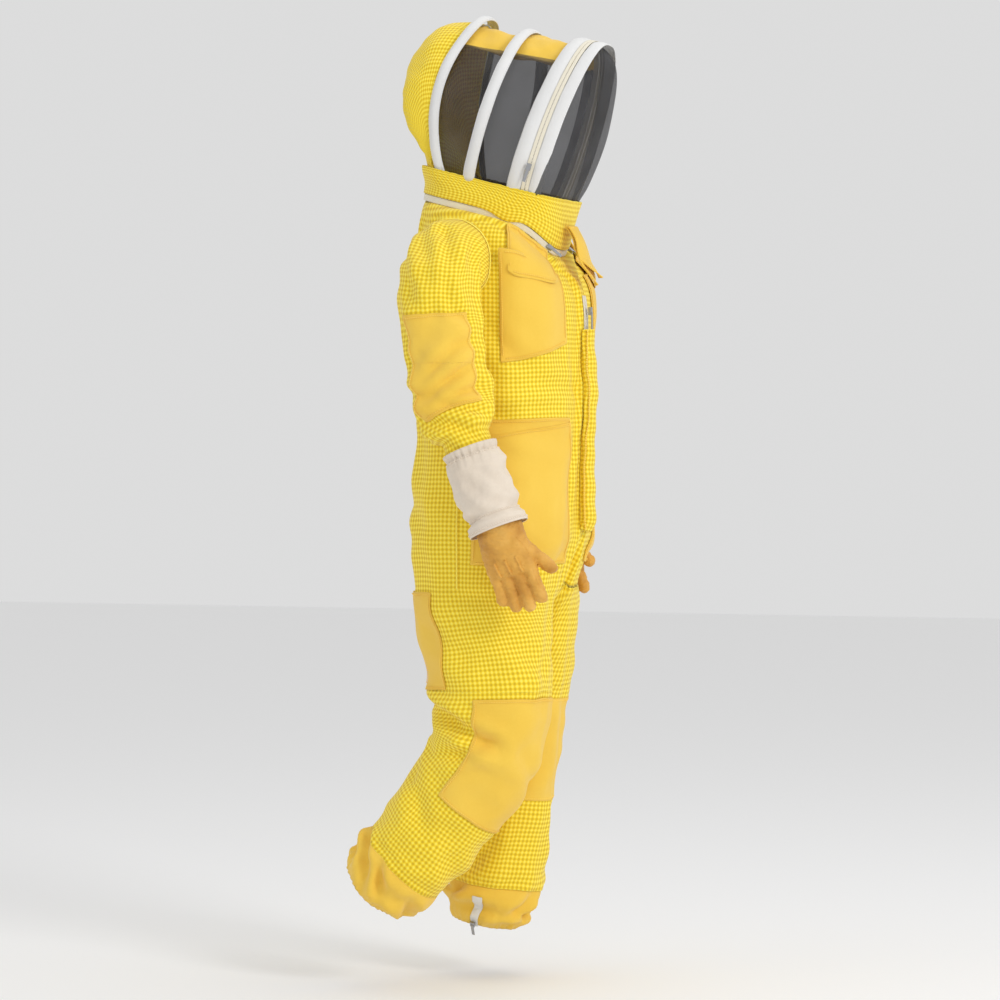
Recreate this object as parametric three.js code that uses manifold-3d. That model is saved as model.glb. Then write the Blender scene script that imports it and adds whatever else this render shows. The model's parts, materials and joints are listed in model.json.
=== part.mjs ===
// Ventilated beekeeping suit: a hooded coverall with gauntlet gloves, in the shape it takes when worn.
// Millimetres, +Z up, the front of the suit towards -Y and the wearer's right towards -X.
// The origin is the point between the shoulders, level with the neck ring.
import * as THREE from 'three';
import { mergeVertices } from 'three/addons/utils/BufferGeometryUtils.js';
import Module from 'manifold-3d';

const wasm = await Module();
wasm.setup();

// ---- Driving dimensions ----
const FABRIC = 3;            // three-layer mesh fabric
const COTTON = 1.6;          // plain cotton patches and pockets
const NET = 1.2;             // veil netting
const TAPE = 1.6;            // sewn tapes and bands
const GAP = 0.4;             // clearance between pieces that lie on each other
const NECK_TILT = 14.3;      // degrees that the neck ring leans forward
const NECK_CENTRE = [0, 10, 11];
const NECK_HALF = [124, 133];      // half width and half depth of the neck ring
const NECK_SQUARE = 2.6;
const SKIRT_TOP = 16;        // heights in the hood's own frame, along its leaning axis
const SKIRT_DEPTH = 22;
const SKIRT_FRONT_DROP = 43;
const HOOD_SQUARE = 2.5;
const HOOD_FOOT = 20;        // where the bands start, above the skirt
const BAND_LIFT = 7;         // space under a band for its hoop
const HOOP_RADIUS = 1.5;
const ARMHOLE = { y: 40, z: -112, radius: 80 };
const SLEEVE_X = 264;        // distance of a sleeve's middle from the middle plane
const ELBOW_Z = -363;
const GAUNTLET_RADIUS = 49.5;
const LEATHER = 2.5;
const FINGER_RADIUS = 12.5;

const radians = THREE.MathUtils.degToRad;
const lerp = THREE.MathUtils.lerp;
const tiltSin = Math.sin(radians(NECK_TILT));
const tiltCos = Math.cos(radians(NECK_TILT));

const slots = {
  mesh_fabric: { color: 0xf2d040, roughness: 0.85, metalness: 0 },
  plain_cotton: { color: 0xefc04a, roughness: 0.9, metalness: 0 },
  white_tape: { color: 0xe6e6e4, roughness: 0.8, metalness: 0 },
  veil_net: { color: 0x38383a, roughness: 0.7, metalness: 0 },
  hoop_wire: { color: 0xb9bcc0, roughness: 0.35, metalness: 0.9 },
  zip_metal: { color: 0x9c9da0, roughness: 0.4, metalness: 0.9 },
  zip_tape: { color: 0xeeeade, roughness: 0.8, metalness: 0 },
  canvas: { color: 0xe8dcc6, roughness: 0.9, metalness: 0 },
  leather: { color: 0xd9a13e, roughness: 0.65, metalness: 0 },
};

const suit = new THREE.Group();

function add(name, geometry, slot) {
  const mesh = new THREE.Mesh(geometry, new THREE.MeshStandardMaterial(slots[slot]));
  mesh.name = name;
  suit.add(mesh);
}

// ---- Shared geometry ----
function point(x, y, z) {
  return new THREE.Vector3(x, y, z);
}

// A superellipse's coordinate from a sine or cosine: 2 is an ellipse, and more is squarer.
function squircle(value, square) {
  return Math.sign(value) * Math.abs(value) ** (2 / square);
}

function signedVolume(positions, index) {
  const [a, b, c] = [point(0, 0, 0), point(0, 0, 0), point(0, 0, 0)];
  let volume = 0;
  for (let i = 0; i < index.length; i += 3) {
    a.fromArray(positions, index[i] * 3);
    b.fromArray(positions, index[i + 1] * 3);
    c.fromArray(positions, index[i + 2] * 3);
    volume += a.dot(b.cross(c)) / 6;
  }
  return volume;
}

function closedGeometry(points, triangles) {
  const positions = points.flatMap((p) => [p.x, p.y, p.z]);
  const facesIn = signedVolume(positions, triangles) < 0;
  const index = facesIn ? [...triangles].reverse() : triangles;
  const geometry = new THREE.BufferGeometry();
  geometry.setAttribute('position', new THREE.Float32BufferAttribute(positions, 3));
  geometry.setIndex(index);
  geometry.computeVertexNormals();
  return geometry;
}

// The outward normals of a grid of points, away from the grid's own middle or from core.
function gridNormals(grid, columns, rows, loop, core) {
  const middle = core ?? grid.reduce((sum, p) => sum.add(p), point(0, 0, 0)).divideScalar(grid.length);
  const at = (i, j) => grid[j * columns + i];
  const normals = [];
  let outwards = 0;
  for (let j = 0; j < rows; j += 1) {
    for (let i = 0; i < columns; i += 1) {
      const left = loop ? (i + columns - 1) % columns : Math.max(i - 1, 0);
      const right = loop ? (i + 1) % columns : Math.min(i + 1, columns - 1);
      const across = at(right, j).clone().sub(at(left, j));
      const down = at(i, Math.min(j + 1, rows - 1)).clone().sub(at(i, Math.max(j - 1, 0)));
      const normal = across.cross(down).normalize();
      outwards += normal.dot(at(i, j).clone().sub(middle));
      normals.push(normal);
    }
  }
  return outwards < 0 ? normals.map((n) => n.negate()) : normals;
}

// A closed sheet of fabric over surface(u, v), from inner to outer along its normals.
// With loop, u goes all the way round and the sheet is an open-ended tube.
function shell(surface, options) {
  const { u = [0, 1], v = [0, 1], around, along, inner = -FABRIC, outer = 0, loop = false, core } = options;
  const columns = loop ? around : around + 1;
  const rows = along + 1;
  const grid = [];
  for (let j = 0; j < rows; j += 1) {
    for (let i = 0; i < columns; i += 1) {
      grid.push(surface(lerp(u[0], u[1], i / around), lerp(v[0], v[1], j / along)));
    }
  }
  const normals = gridNormals(grid, columns, rows, loop, core);
  const layer = (offset) => grid.map((p, k) => p.clone().addScaledVector(normals[k], offset));
  const points = [...layer(outer), ...layer(inner)];
  const size = grid.length;
  const triangles = [];
  const quad = (a, b, c, d) => triangles.push(a, b, c, a, c, d);
  const wrap = (i) => (loop ? i % columns : i);
  for (let i = 0; i < around; i += 1) {
    const next = wrap(i + 1);
    for (let j = 0; j < along; j += 1) {
      const corners = [j * columns + i, j * columns + next, (j + 1) * columns + next, (j + 1) * columns + i];
      quad(...corners);
      quad(...corners.map((k) => k + size).reverse());
    }
    const last = along * columns;
    quad(i, i + size, next + size, next);
    quad(last + next, last + next + size, last + i + size, last + i);
  }
  if (!loop) {
    for (let j = 0; j < along; j += 1) {
      const upper = j * columns;
      const lower = upper + columns;
      quad(upper, lower, lower + size, upper + size);
      quad(upper + around, upper + around + size, lower + around + size, lower + around);
    }
  }
  return closedGeometry(points, triangles);
}

// A solid through closed rings of points, with a flat fan at each end.
function ringSolid(rings) {
  const count = rings[0].length;
  const points = rings.flat();
  const triangles = [];
  for (let j = 0; j + 1 < rings.length; j += 1) {
    for (let i = 0; i < count; i += 1) {
      const next = (i + 1) % count;
      const [a, b] = [j * count + i, j * count + next];
      triangles.push(a, b, b + count, a, b + count, a + count);
    }
  }
  const centreOf = (ring) => ring.reduce((sum, p) => sum.add(p), point(0, 0, 0)).divideScalar(count);
  const top = points.push(centreOf(rings[0])) - 1;
  const bottom = points.push(centreOf(rings.at(-1))) - 1;
  const last = (rings.length - 1) * count;
  for (let i = 0; i < count; i += 1) {
    const next = (i + 1) % count;
    triangles.push(top, next, i, bottom, last + i, last + next);
  }
  return closedGeometry(points, triangles);
}

function toManifold(geometry) {
  const bare = geometry.clone();
  bare.deleteAttribute('normal');
  bare.deleteAttribute('uv');
  const merged = mergeVertices(bare, 1e-4);
  return new wasm.Manifold(new wasm.Mesh({
    numProp: 3,
    vertProperties: new Float32Array(merged.attributes.position.array),
    triVerts: new Uint32Array(merged.index.array),
  }));
}

// The largest single body of a boolean's result.
function fromManifold(solid) {
  const bodies = solid.decompose();
  const largest = bodies.reduce((best, body) => (body.volume() > best.volume() ? body : best));
  const mesh = largest.getMesh();
  const geometry = new THREE.BufferGeometry();
  geometry.setAttribute('position', new THREE.Float32BufferAttribute(mesh.vertProperties, 3));
  geometry.setIndex([...mesh.triVerts]);
  geometry.computeVertexNormals();
  return geometry;
}

function box(sizes, centre) {
  const geometry = new THREE.BoxGeometry(...sizes);
  geometry.translate(centre.x, centre.y, centre.z);
  return geometry;
}

// ---- Neck ring, in the hood's own leaning frame ----
function hoodFrame(x, y, z) {
  return point(
    x,
    NECK_CENTRE[1] + tiltCos * y - tiltSin * z,
    NECK_CENTRE[2] + tiltSin * y + tiltCos * z,
  );
}

// The depth of the skirt's lower edge: it dips at the front. Angle 0 is the front, and a quarter turn the left.
function skirtDepth(angle) {
  return SKIRT_DEPTH + SKIRT_FRONT_DROP * Math.max(0, Math.cos(angle)) ** 3;
}

function neckPoint(angle, height, flare = 1) {
  const x = NECK_HALF[0] * flare * squircle(Math.sin(angle), NECK_SQUARE);
  const y = -NECK_HALF[1] * flare * squircle(Math.cos(angle), NECK_SQUARE);
  return hoodFrame(x, y, height);
}

// ---- Body of the coverall ----
const NECK_ZIP = 10;         // height of the neck zip's tape below the skirt
const FRONT_Y = -157;        // the straight front line that the main zip runs along
const TORSO = [
  { half: 160, front: -126, back: 152, heights: [-118, -18, -12], square: 2.4 },
  { half: 190, front: -142, back: 153, heights: [-140, -32, -45], square: 2.8 },
  { half: 200, front: -152, back: 152, heights: [-165, -75, -85], square: 2.8 },
  { half: 200, front: FRONT_Y, back: 147, heights: [-205, -205, -205], square: 2.8 },
  { half: 197, front: FRONT_Y, back: 141, heights: [-320, -320, -320], square: 2.6 },
  { half: 195, front: FRONT_Y, back: 146, heights: [-437, -437, -437], square: 2.5 },
  { half: 206, front: FRONT_Y, back: 167, heights: [-520, -520, -520], square: 2.4 },
  { half: 213, front: FRONT_Y, back: 174, heights: [-600, -600, -600], square: 2.4 },
];
const SEAT = [
  { half: 213, front: FRONT_Y, back: 174, heights: [-603, -603, -603], square: 2.4 },
  { half: 213, front: -154, back: 170, heights: [-650, -650, -650], square: 2.4 },
  { half: 212, front: -148, back: 160, heights: [-700, -700, -700], square: 2.5 },
];

function sectionPoint(row, angle) {
  const side = squircle(Math.sin(angle), row.square);
  const ahead = squircle(Math.cos(angle), row.square);
  const [front, flank, back] = row.heights;
  const rise = ahead > 0 ? front - flank : back - flank;
  const middle = (row.front + row.back) / 2;
  const depth = (row.back - row.front) / 2;
  return point(row.half * side, middle - depth * ahead, flank + rise * ahead ** 2);
}

// Row 0 is the neck edge, and the others are the sections of TORSO.
function torsoRowPoint(row, angle) {
  return row === 0 ? neckPoint(angle, -skirtDepth(angle) - NECK_ZIP - 4) : sectionPoint(TORSO[row - 1], angle);
}

function torsoPoint(angle, v) {
  const place = v * TORSO.length;
  const row = Math.min(Math.floor(place), TORSO.length - 1);
  return torsoRowPoint(row, angle).lerp(torsoRowPoint(row + 1, angle), place - row);
}

// The point of the torso at an angle and a height.
function torsoAtHeight(angle, height) {
  for (let row = 0; row < TORSO.length; row += 1) {
    const upper = torsoRowPoint(row, angle);
    const lower = torsoRowPoint(row + 1, angle);
    if (lower.z <= height) {
      return upper.lerp(lower, (height - upper.z) / (lower.z - upper.z));
    }
  }
  const edge = torsoRowPoint(TORSO.length, angle);
  edge.z = height;
  return edge;
}

const torsoCore = point(0, 0, -330);

function armholeCutter(side) {
  const cylinder = new THREE.CylinderGeometry(ARMHOLE.radius, ARMHOLE.radius, 120, 28);
  cylinder.rotateZ(Math.PI / 2);
  cylinder.translate(side * 210, ARMHOLE.y, ARMHOLE.z);
  return toManifold(cylinder);
}

function torsoPanel(name, angles, around, sides) {
  let solid = toManifold(shell(torsoPoint, { u: angles, around, along: TORSO.length, core: torsoCore }));
  for (const side of sides) {
    solid = solid.subtract(armholeCutter(side));
  }
  add(name, fromManifold(solid), 'mesh_fabric');
}

function coverallBody() {
  const seam = 0.004;
  const quarter = Math.PI / 2;
  torsoPanel('front_body_right', [-seam, -quarter + seam], 8, [-1]);
  torsoPanel('front_body_left', [seam, quarter - seam], 8, [1]);
  torsoPanel('back_body', [quarter + seam, 3 * quarter - seam], 14, [-1, 1]);
  const seatPoint = (u, v) => {
    const place = v * (SEAT.length - 1);
    const row = Math.min(Math.floor(place), SEAT.length - 2);
    const angle = u * 2 * Math.PI;
    return sectionPoint(SEAT[row], angle).lerp(sectionPoint(SEAT[row + 1], angle), place - row);
  };
  add('seat', shell(seatPoint, { around: 28, along: 2, loop: true }), 'mesh_fabric');
}

function neckZip() {
  const surface = (u, v) => {
    const angle = u * 2 * Math.PI;
    return neckPoint(angle, -skirtDepth(angle) - 2 - v * NECK_ZIP);
  };
  add('neck_zip', shell(surface, { around: 28, along: 1, loop: true, inner: -TAPE }), 'zip_tape');
}

// Zip sliders: a body with a pull tab on it. Local axes: out of the fabric is -Y, and the tab hangs along -Z.
const SLIDER = { width: 11, depth: 5, length: 15, tabWidth: 7, tabDepth: 1.6, tabLength: 34 };

function sliderGeometry(scale = 1) {
  const s = SLIDER;
  const body = box([s.width, s.depth, s.length], point(0, -s.depth / 2, 0));
  const tabTop = -s.length / 2 + 6;
  const tab = box([s.tabWidth, s.tabDepth, s.tabLength], point(0, -s.depth - 0.4, tabTop - s.tabLength / 2));
  const geometry = fromManifold(toManifold(body).add(toManifold(tab)));
  geometry.scale(scale, scale, scale);
  return geometry;
}

function placeSlider(name, place, out, down, scale) {
  const geometry = sliderGeometry(scale);
  const zAxis = down.clone().negate().normalize();
  const yAxis = out.clone().negate();
  yAxis.addScaledVector(zAxis, -yAxis.dot(zAxis)).normalize();
  const xAxis = yAxis.clone().cross(zAxis);
  geometry.applyMatrix4(new THREE.Matrix4().makeBasis(xAxis, yAxis, zAxis).setPosition(place));
  add(name, geometry, 'zip_metal');
}

const MAIN_ZIP = { top: -168, bottom: -597, half: 15, sliderTop: -200 };

function mainZip() {
  const surface = (u, v) => {
    const place = torsoAtHeight(0, lerp(MAIN_ZIP.top, MAIN_ZIP.bottom, v));
    place.x = lerp(-MAIN_ZIP.half, MAIN_ZIP.half, u);
    return place;
  };
  const strip = { around: 1, along: 8, inner: 2, outer: 2 + TAPE, core: torsoCore };
  add('main_zip', shell(surface, strip), 'zip_tape');
  const place = point(0, FRONT_Y - 2 - TAPE - GAP, MAIN_ZIP.sliderTop);
  placeSlider('main_zip_slider', place, point(0, -1, 0), point(0, 0, -1), 1);
}

function torsoPatch(angles, heights, lift, around, along, thickness = COTTON) {
  const surface = (u, v) => torsoAtHeight(lerp(angles[0], angles[1], u), lerp(heights[0], heights[1], v));
  return shell(surface, { around, along, inner: lift, outer: lift + thickness, core: torsoCore });
}

const CHEST_POCKET = { from: 20, to: 72, top: -122, bottom: -292 };
const POCKET_FLAP = { from: 32, to: 64, top: -84, bottom: -138 };
const HIP_POCKET = { from: 17, to: 86, top: -396, bottom: -660 };

function pockets(side, label) {
  const turn = (degrees) => side * radians(degrees);
  const chest = torsoPatch([turn(CHEST_POCKET.from), turn(CHEST_POCKET.to)],
    [CHEST_POCKET.top, CHEST_POCKET.bottom], 2.6, 6, 5);
  add(`chest_pocket_${label}`, chest, 'plain_cotton');
  const flap = torsoPatch([turn(POCKET_FLAP.from), turn(POCKET_FLAP.to)],
    [POCKET_FLAP.top, POCKET_FLAP.bottom], 5.4, 4, 3);
  add(`chest_pocket_flap_${label}`, flap, 'plain_cotton');
  const hip = torsoPatch([turn(HIP_POCKET.from), turn(HIP_POCKET.to)],
    [HIP_POCKET.top, HIP_POCKET.bottom], 1.2, 8, 6);
  add(`hip_pocket_${label}`, hip, 'plain_cotton');
}

// ---- Sleeves and legs: tubes through stations, whose rings lean with the limb ----
function limb(side, stations) {
  const curve = new THREE.CatmullRomCurve3(
    stations.map((s) => point(side * s.x, s.y, s.z)), false, 'catmullrom', 0.5);
  const steps = stations.length - 1;
  const leans = stations.map((s, k) => {
    const before = stations[Math.max(k - 1, 0)];
    const after = stations[Math.min(k + 1, steps)];
    return k === 0 ? 0 : Math.atan2(after.y - before.y, before.z - after.z);
  });
  const between = (values, place) => {
    const low = Math.min(Math.floor(place), steps - 1);
    return lerp(values[low], values[low + 1], place - low);
  };
  const read = (key, place) => between(stations.map((s) => s[key]), place);
  // Angle 0 is the front of the limb, and a quarter turn is its outer side.
  return (angle, place, lift = 0) => {
    const centre = curve.getPoint(place / steps);
    const lean = between(leans, place);
    const forward = point(0, -Math.cos(lean), -Math.sin(lean));
    const square = read('square', place);
    const outward = side * (read('rx', place) + lift) * squircle(Math.sin(angle), square);
    const ahead = (read('ry', place) + lift) * squircle(Math.cos(angle), square);
    return centre.addScaledVector(forward, ahead).add(point(outward, 0, 0));
  };
}

function station(x, y, z, rx, ry = rx, square = 2) {
  return { x, y, z, rx, ry, square };
}

function tube(surface, from, to, along, options = {}) {
  const round = (u, v) => surface(u * 2 * Math.PI, v);
  return shell(round, { v: [from, to], around: 16, along, loop: true, ...options });
}

// Fabric laid on a limb between two angles in degrees, at stations from to to.
function limbPatch(surface, angles, places, around, along, lift = 3, narrow = 1) {
  const middle = (angles[0] + angles[1]) / 2;
  const patch = (u, v) => {
    const spread = lerp(1, narrow, v);
    const angle = middle + (lerp(angles[0], angles[1], u) - middle) * spread;
    return surface(radians(angle), lerp(places[0], places[1], v));
  };
  const core = surface(radians(middle + 180), (places[0] + places[1]) / 2);
  return shell(patch, { around, along, inner: lift, outer: lift + COTTON, core });
}

const CUT = 0.02;           // half of the gap between two lengths of a limb, in stations

const ARMS = {
  right: { side: -1, elbowY: 10, wristY: -79, wristZ: -590 },
  left: { side: 1, elbowY: 44, wristY: 12, wristZ: -594 },
};

function sleeve(label) {
  const { side, elbowY, wristY, wristZ } = ARMS[label];
  const slope = (wristY - elbowY) / (wristZ - ELBOW_Z);
  const onForearm = (z, rx, ry = rx) => station(SLEEVE_X + 2, elbowY + slope * (z - ELBOW_Z), z, rx, ry);
  const surface = limb(side, [
    station(SLEEVE_X, 36, -198, 62, 74),
    station(SLEEVE_X, lerp(36, elbowY, 0.3), -245, 61, 71),
    station(SLEEVE_X, lerp(36, elbowY, 0.6), -293, 60, 69),
    station(SLEEVE_X, elbowY, ELBOW_Z, 60, 66),
    onForearm(-425, 58, 62),
    onForearm(-441, 50, 52),
    onForearm(-452, 42),
    onForearm(-570, 39),
  ]);
  // The sleeve head turns from the armhole's upright plane to the sleeve's level one about the armpit.
  const armpit = { x: 203, z: ARMHOLE.z - ARMHOLE.radius - 2.5 };
  const head = (angle, turn) => {
    const reach = lerp(ARMHOLE.radius + 2.5, SLEEVE_X - armpit.x, turn);
    const radial = reach - lerp(3.5, 3, turn);
    const ringY = lerp(ARMHOLE.y, 36, turn) - lerp(ARMHOLE.radius - 1, 74, turn) * Math.cos(angle);
    const out = reach + radial * Math.sin(angle);
    const lean = turn * Math.PI / 2;
    return point(side * (armpit.x + out * Math.sin(lean)), ringY, armpit.z + out * Math.cos(lean));
  };
  add(`sleeve_head_${label}`, tube(head, 0.04, 0.97, 4), 'mesh_fabric');
  add(`upper_sleeve_${label}`, tube(surface, 0, 2 - CUT, 2), 'mesh_fabric');
  add(`elbow_section_${label}`, tube(surface, 2 + CUT, 4 - CUT, 4), 'mesh_fabric');
  add(`elbow_patch_${label}`, limbPatch(surface, [5, 175], [0.1, 3.25], 8, 5), 'plain_cotton');
  add(`forearm_sleeve_${label}`, tube(surface, 4 + CUT, 7, 5), 'mesh_fabric');
}

// ---- Gloves: a canvas gauntlet and a leather hand ----
function glove(label) {
  const { side, elbowY, wristY, wristZ } = ARMS[label];
  const elbow = point(side * (SLEEVE_X + 2), elbowY, ELBOW_Z);
  const wrist = point(side * (SLEEVE_X + 2), wristY, wristZ);
  const along = wrist.clone().sub(elbow).normalize();
  const length = wrist.distanceTo(elbow);
  const forward = point(0, along.z, -along.y);
  const ringPoint = (distance, radius, angle) => elbow.clone()
    .addScaledVector(along, distance)
    .addScaledVector(forward, radius * Math.cos(angle))
    .add(point(side * radius * Math.sin(angle), 0, 0));
  const profile = [
    [98, GAUNTLET_RADIUS - 2],
    [108, GAUNTLET_RADIUS],
    [length - 10, GAUNTLET_RADIUS],
    [length + 6, GAUNTLET_RADIUS + 1.5],
  ];
  const gauntlet = (angle, v) => {
    const place = v * (profile.length - 1);
    const row = Math.min(Math.floor(place), profile.length - 2);
    const distance = lerp(profile[row][0], profile[row + 1][0], place - row);
    return ringPoint(distance, lerp(profile[row][1], profile[row + 1][1], place - row), angle);
  };
  add(`gauntlet_${label}`, tube(gauntlet, 0, 1, 3, { inner: -2.2 }), 'canvas');
  add(`glove_hand_${label}`, gloveHand(side, wrist), 'leather');
}

// The hand's own frame: down the fingers, forwards to the thumb, and inwards to the palm.
function gloveHand(side, wrist) {
  const down = point(0, -0.3, -0.954).normalize();
  const forward = point(0, -0.954, 0.3).normalize();
  const inward = point(-side, 0, 0);
  const place = (d, f, i) => wrist.clone().addScaledVector(down, d).addScaledVector(forward, f)
    .addScaledVector(inward, i);
  const palmRings = (grow, start) => [[start, 42, 43], [18, 38, 44], [50, 27, 47], [82, 20, 47], [96, 15, 43]]
    .map(([d, thick, wide]) => Array.from({ length: 12 }, (_, k) => {
      const angle = k / 12 * 2 * Math.PI;
      return place(d, (wide + grow) * Math.cos(angle), 4 + (thick + grow) * Math.sin(angle));
    }));
  const capsule = (from, to, radius) => {
    const span = from.distanceTo(to);
    const geometry = new THREE.CapsuleGeometry(radius, span, 1, 6);
    const turn = new THREE.Quaternion().setFromUnitVectors(point(0, 1, 0), to.clone().sub(from).normalize());
    geometry.applyQuaternion(turn);
    const middle = from.clone().lerp(to, 0.5);
    geometry.translate(middle.x, middle.y, middle.z);
    return toManifold(geometry);
  };
  const fingers = [
    [[84, 33, 4], [144, 36, 14]],
    [[84, 11, 4], [153, 10, 15]],
    [[84, -11, 4], [147, -16, 15]],
    [[82, -32, 4], [130, -34, 13]],
    [[44, 32, 12], [99, 66, 24]],
  ];
  const hand = (grow, start) => {
    let solid = toManifold(ringSolid(palmRings(grow, start)));
    for (const [knuckle, tip] of fingers) {
      solid = solid.add(capsule(place(...knuckle), place(...tip), FINGER_RADIUS + grow));
    }
    return solid;
  };
  return fromManifold(hand(0, -4).subtract(hand(-LEATHER, -20)));
}

// ---- Legs ----
const LEGS = {
  right: { side: -1, y: [4, -4, -14, -3, 62, 122, 170, 205, 231], z: [-704, -790, -890, -1000, -1085, -1158, -1215, -1249, -1272] },
  left: { side: 1, y: [4, 12, 24, 36, 50, 58, 66, 76, 82], z: [-704, -790, -890, -1000, -1100, -1180, -1262, -1320, -1350] },
};
const LEG_X = [107, 109, 111, 109, 107, 106, 105, 105, 105];
const LEG_RX = [103, 99, 93, 91, 89, 87, 85, 84, 59];
const LEG_RY = [150, 128, 108, 103, 99, 95, 91, 88, 59];
const LEG_SQUARE = [2.6, 2.4, 2.1, 2, 2, 2, 2, 2, 2];

function leg(label) {
  const { side, y, z } = LEGS[label];
  const surface = limb(side, LEG_X.map((x, k) => station(x, y[k], z[k], LEG_RX[k], LEG_RY[k], LEG_SQUARE[k])));
  add(`thigh_${label}`, tube(surface, 0, 2 - CUT, 2), 'mesh_fabric');
  add(`rear_thigh_patch_${label}`, limbPatch(surface, [115, 185], [0.12, 1.96], 5, 4, 3, 0.55), 'plain_cotton');
  add(`knee_section_${label}`, tube(surface, 2 + CUT, 4 - CUT, 5), 'mesh_fabric');
  add(`knee_patch_${label}`, limbPatch(surface, [-78, 92], [2.12, 3.97], 9, 7), 'plain_cotton');
  add(`shin_${label}`, tube(surface, 4 + CUT, 6 - CUT, 2), 'mesh_fabric');
  add(`leg_cuff_${label}`, tube(surface, 6 + CUT, 8, 2), 'plain_cotton');
  add(`ankle_zip_${label}`, ankleZip(surface), 'white_tape');
  const place = surface(radians(270), 7.86, 6.5);
  const out = place.clone().sub(surface(radians(90), 7.86, 0)).normalize();
  const down = surface(radians(270), 7.95).sub(surface(radians(270), 7.4));
  placeSlider(`ankle_zip_slider_${label}`, place, out, down, 0.8);
}

function ankleZip(surface) {
  const strip = (u, v) => surface(radians(lerp(264, 276, u)), lerp(6.3, 7.98, v));
  const core = surface(radians(90), 7);
  return shell(strip, { around: 2, along: 4, inner: 2.4, outer: 2.4 + TAPE, core });
}

// ---- Hood: arches on a neck skirt, in the hood's leaning frame ----
const REAR = { foot: 85, lean: 21, bulge: 32, top: 302 };
const MIDDLE = { foot: 28, lean: -12, bulge: 0, top: 307 };
const FRONT = { foot: -64, lean: -29, bulge: 0, top: 314 };

function lineAt(line, rise) {
  return line.foot + line.lean * rise + line.bulge * 4 * rise * (1 - rise);
}

// A point of the hood's tunnel on a line of given front-to-back place, t going from right foot to left foot.
function archPoint(line, t, shift = 0) {
  const rise = squircle(Math.sin(Math.PI * t), HOOD_SQUARE);
  const y = lineAt(line, rise) + shift;
  const rear = lineAt(REAR, rise);
  const share = (rear - y) / (rear - lineAt(FRONT, rise));
  const foot = lerp(107, 117, share) + 46 * share * (1 - share);
  const width = foot * (1 + 0.1 * Math.sin(Math.PI * rise));
  const x = -width * squircle(Math.cos(Math.PI * t), HOOD_SQUARE);
  return hoodFrame(x, y, lerp(HOOD_FOOT, lerp(REAR.top, FRONT.top, share), rise));
}

const hoodCore = hoodFrame(0, 10, 120);

function tunnelPanel(range, around, along) {
  const surface = (u, v) => archPoint(REAR, u).lerp(archPoint(FRONT, u), v);
  return (thickness) => shell(surface, { u: range, v: [0.015, 0.985], around, along,
    inner: -thickness, outer: 0, core: hoodCore });
}

function band(name, line, from, to) {
  const surface = (u, v) => archPoint(line, u, lerp(from, to, v));
  const lift = { inner: BAND_LIFT, outer: BAND_LIFT + TAPE, core: hoodCore };
  add(name, shell(surface, { u: [0.01, 0.99], around: 16, along: 1, ...lift }), 'white_tape');
}

function hoop(name, line, shift) {
  const steps = 18;
  const points = Array.from({ length: steps + 1 }, (_, k) => {
    const t = lerp(0.012, 0.988, k / steps);
    const here = archPoint(line, t, shift);
    const side = archPoint(line, t, shift + 4).sub(here);
    const ahead = archPoint(line, t + 0.01, shift).sub(archPoint(line, t - 0.01, shift));
    const out = side.cross(ahead).normalize();
    if (out.dot(here.clone().sub(hoodCore)) < 0) {
      out.negate();
    }
    return here.addScaledVector(out, BAND_LIFT / 2 + 0.2);
  });
  const circle = new THREE.Shape();
  circle.absarc(0, 0, HOOP_RADIUS, 0, 2 * Math.PI);
  const path = new THREE.CatmullRomCurve3(points);
  const geometry = new THREE.ExtrudeGeometry(circle, { extrudePath: path, steps: 20, curveSegments: 3 });
  geometry.deleteAttribute('normal');
  geometry.deleteAttribute('uv');
  add(name, mergeVertices(geometry, 1e-3), 'hoop_wire');
}

// Half ellipses that share their two feet and fan out through a profile in the middle plane.
function fanPoint(foot, halfWidth, profile, t, v, bulge = 0) {
  const through = profile.getPoint(v);
  const reach = squircle(Math.sin(Math.PI * t), HOOD_SQUARE);
  const width = halfWidth * (1 + 0.1 * Math.sin(Math.PI * reach) * (1 - v));
  const x = -width * squircle(Math.cos(Math.PI * t), HOOD_SQUARE);
  const y = lerp(foot.y, through.y, reach) + bulge * 4 * reach * (1 - reach) * (1 - v);
  return hoodFrame(x, y, lerp(foot.z, through.z, reach));
}

function middleProfile(pairs) {
  return new THREE.CatmullRomCurve3(pairs.map(([y, z]) => point(0, y, z)), false, 'centripetal');
}

const VEIL_EDGE = -38;       // the veil's own band, in front of the front arch

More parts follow.
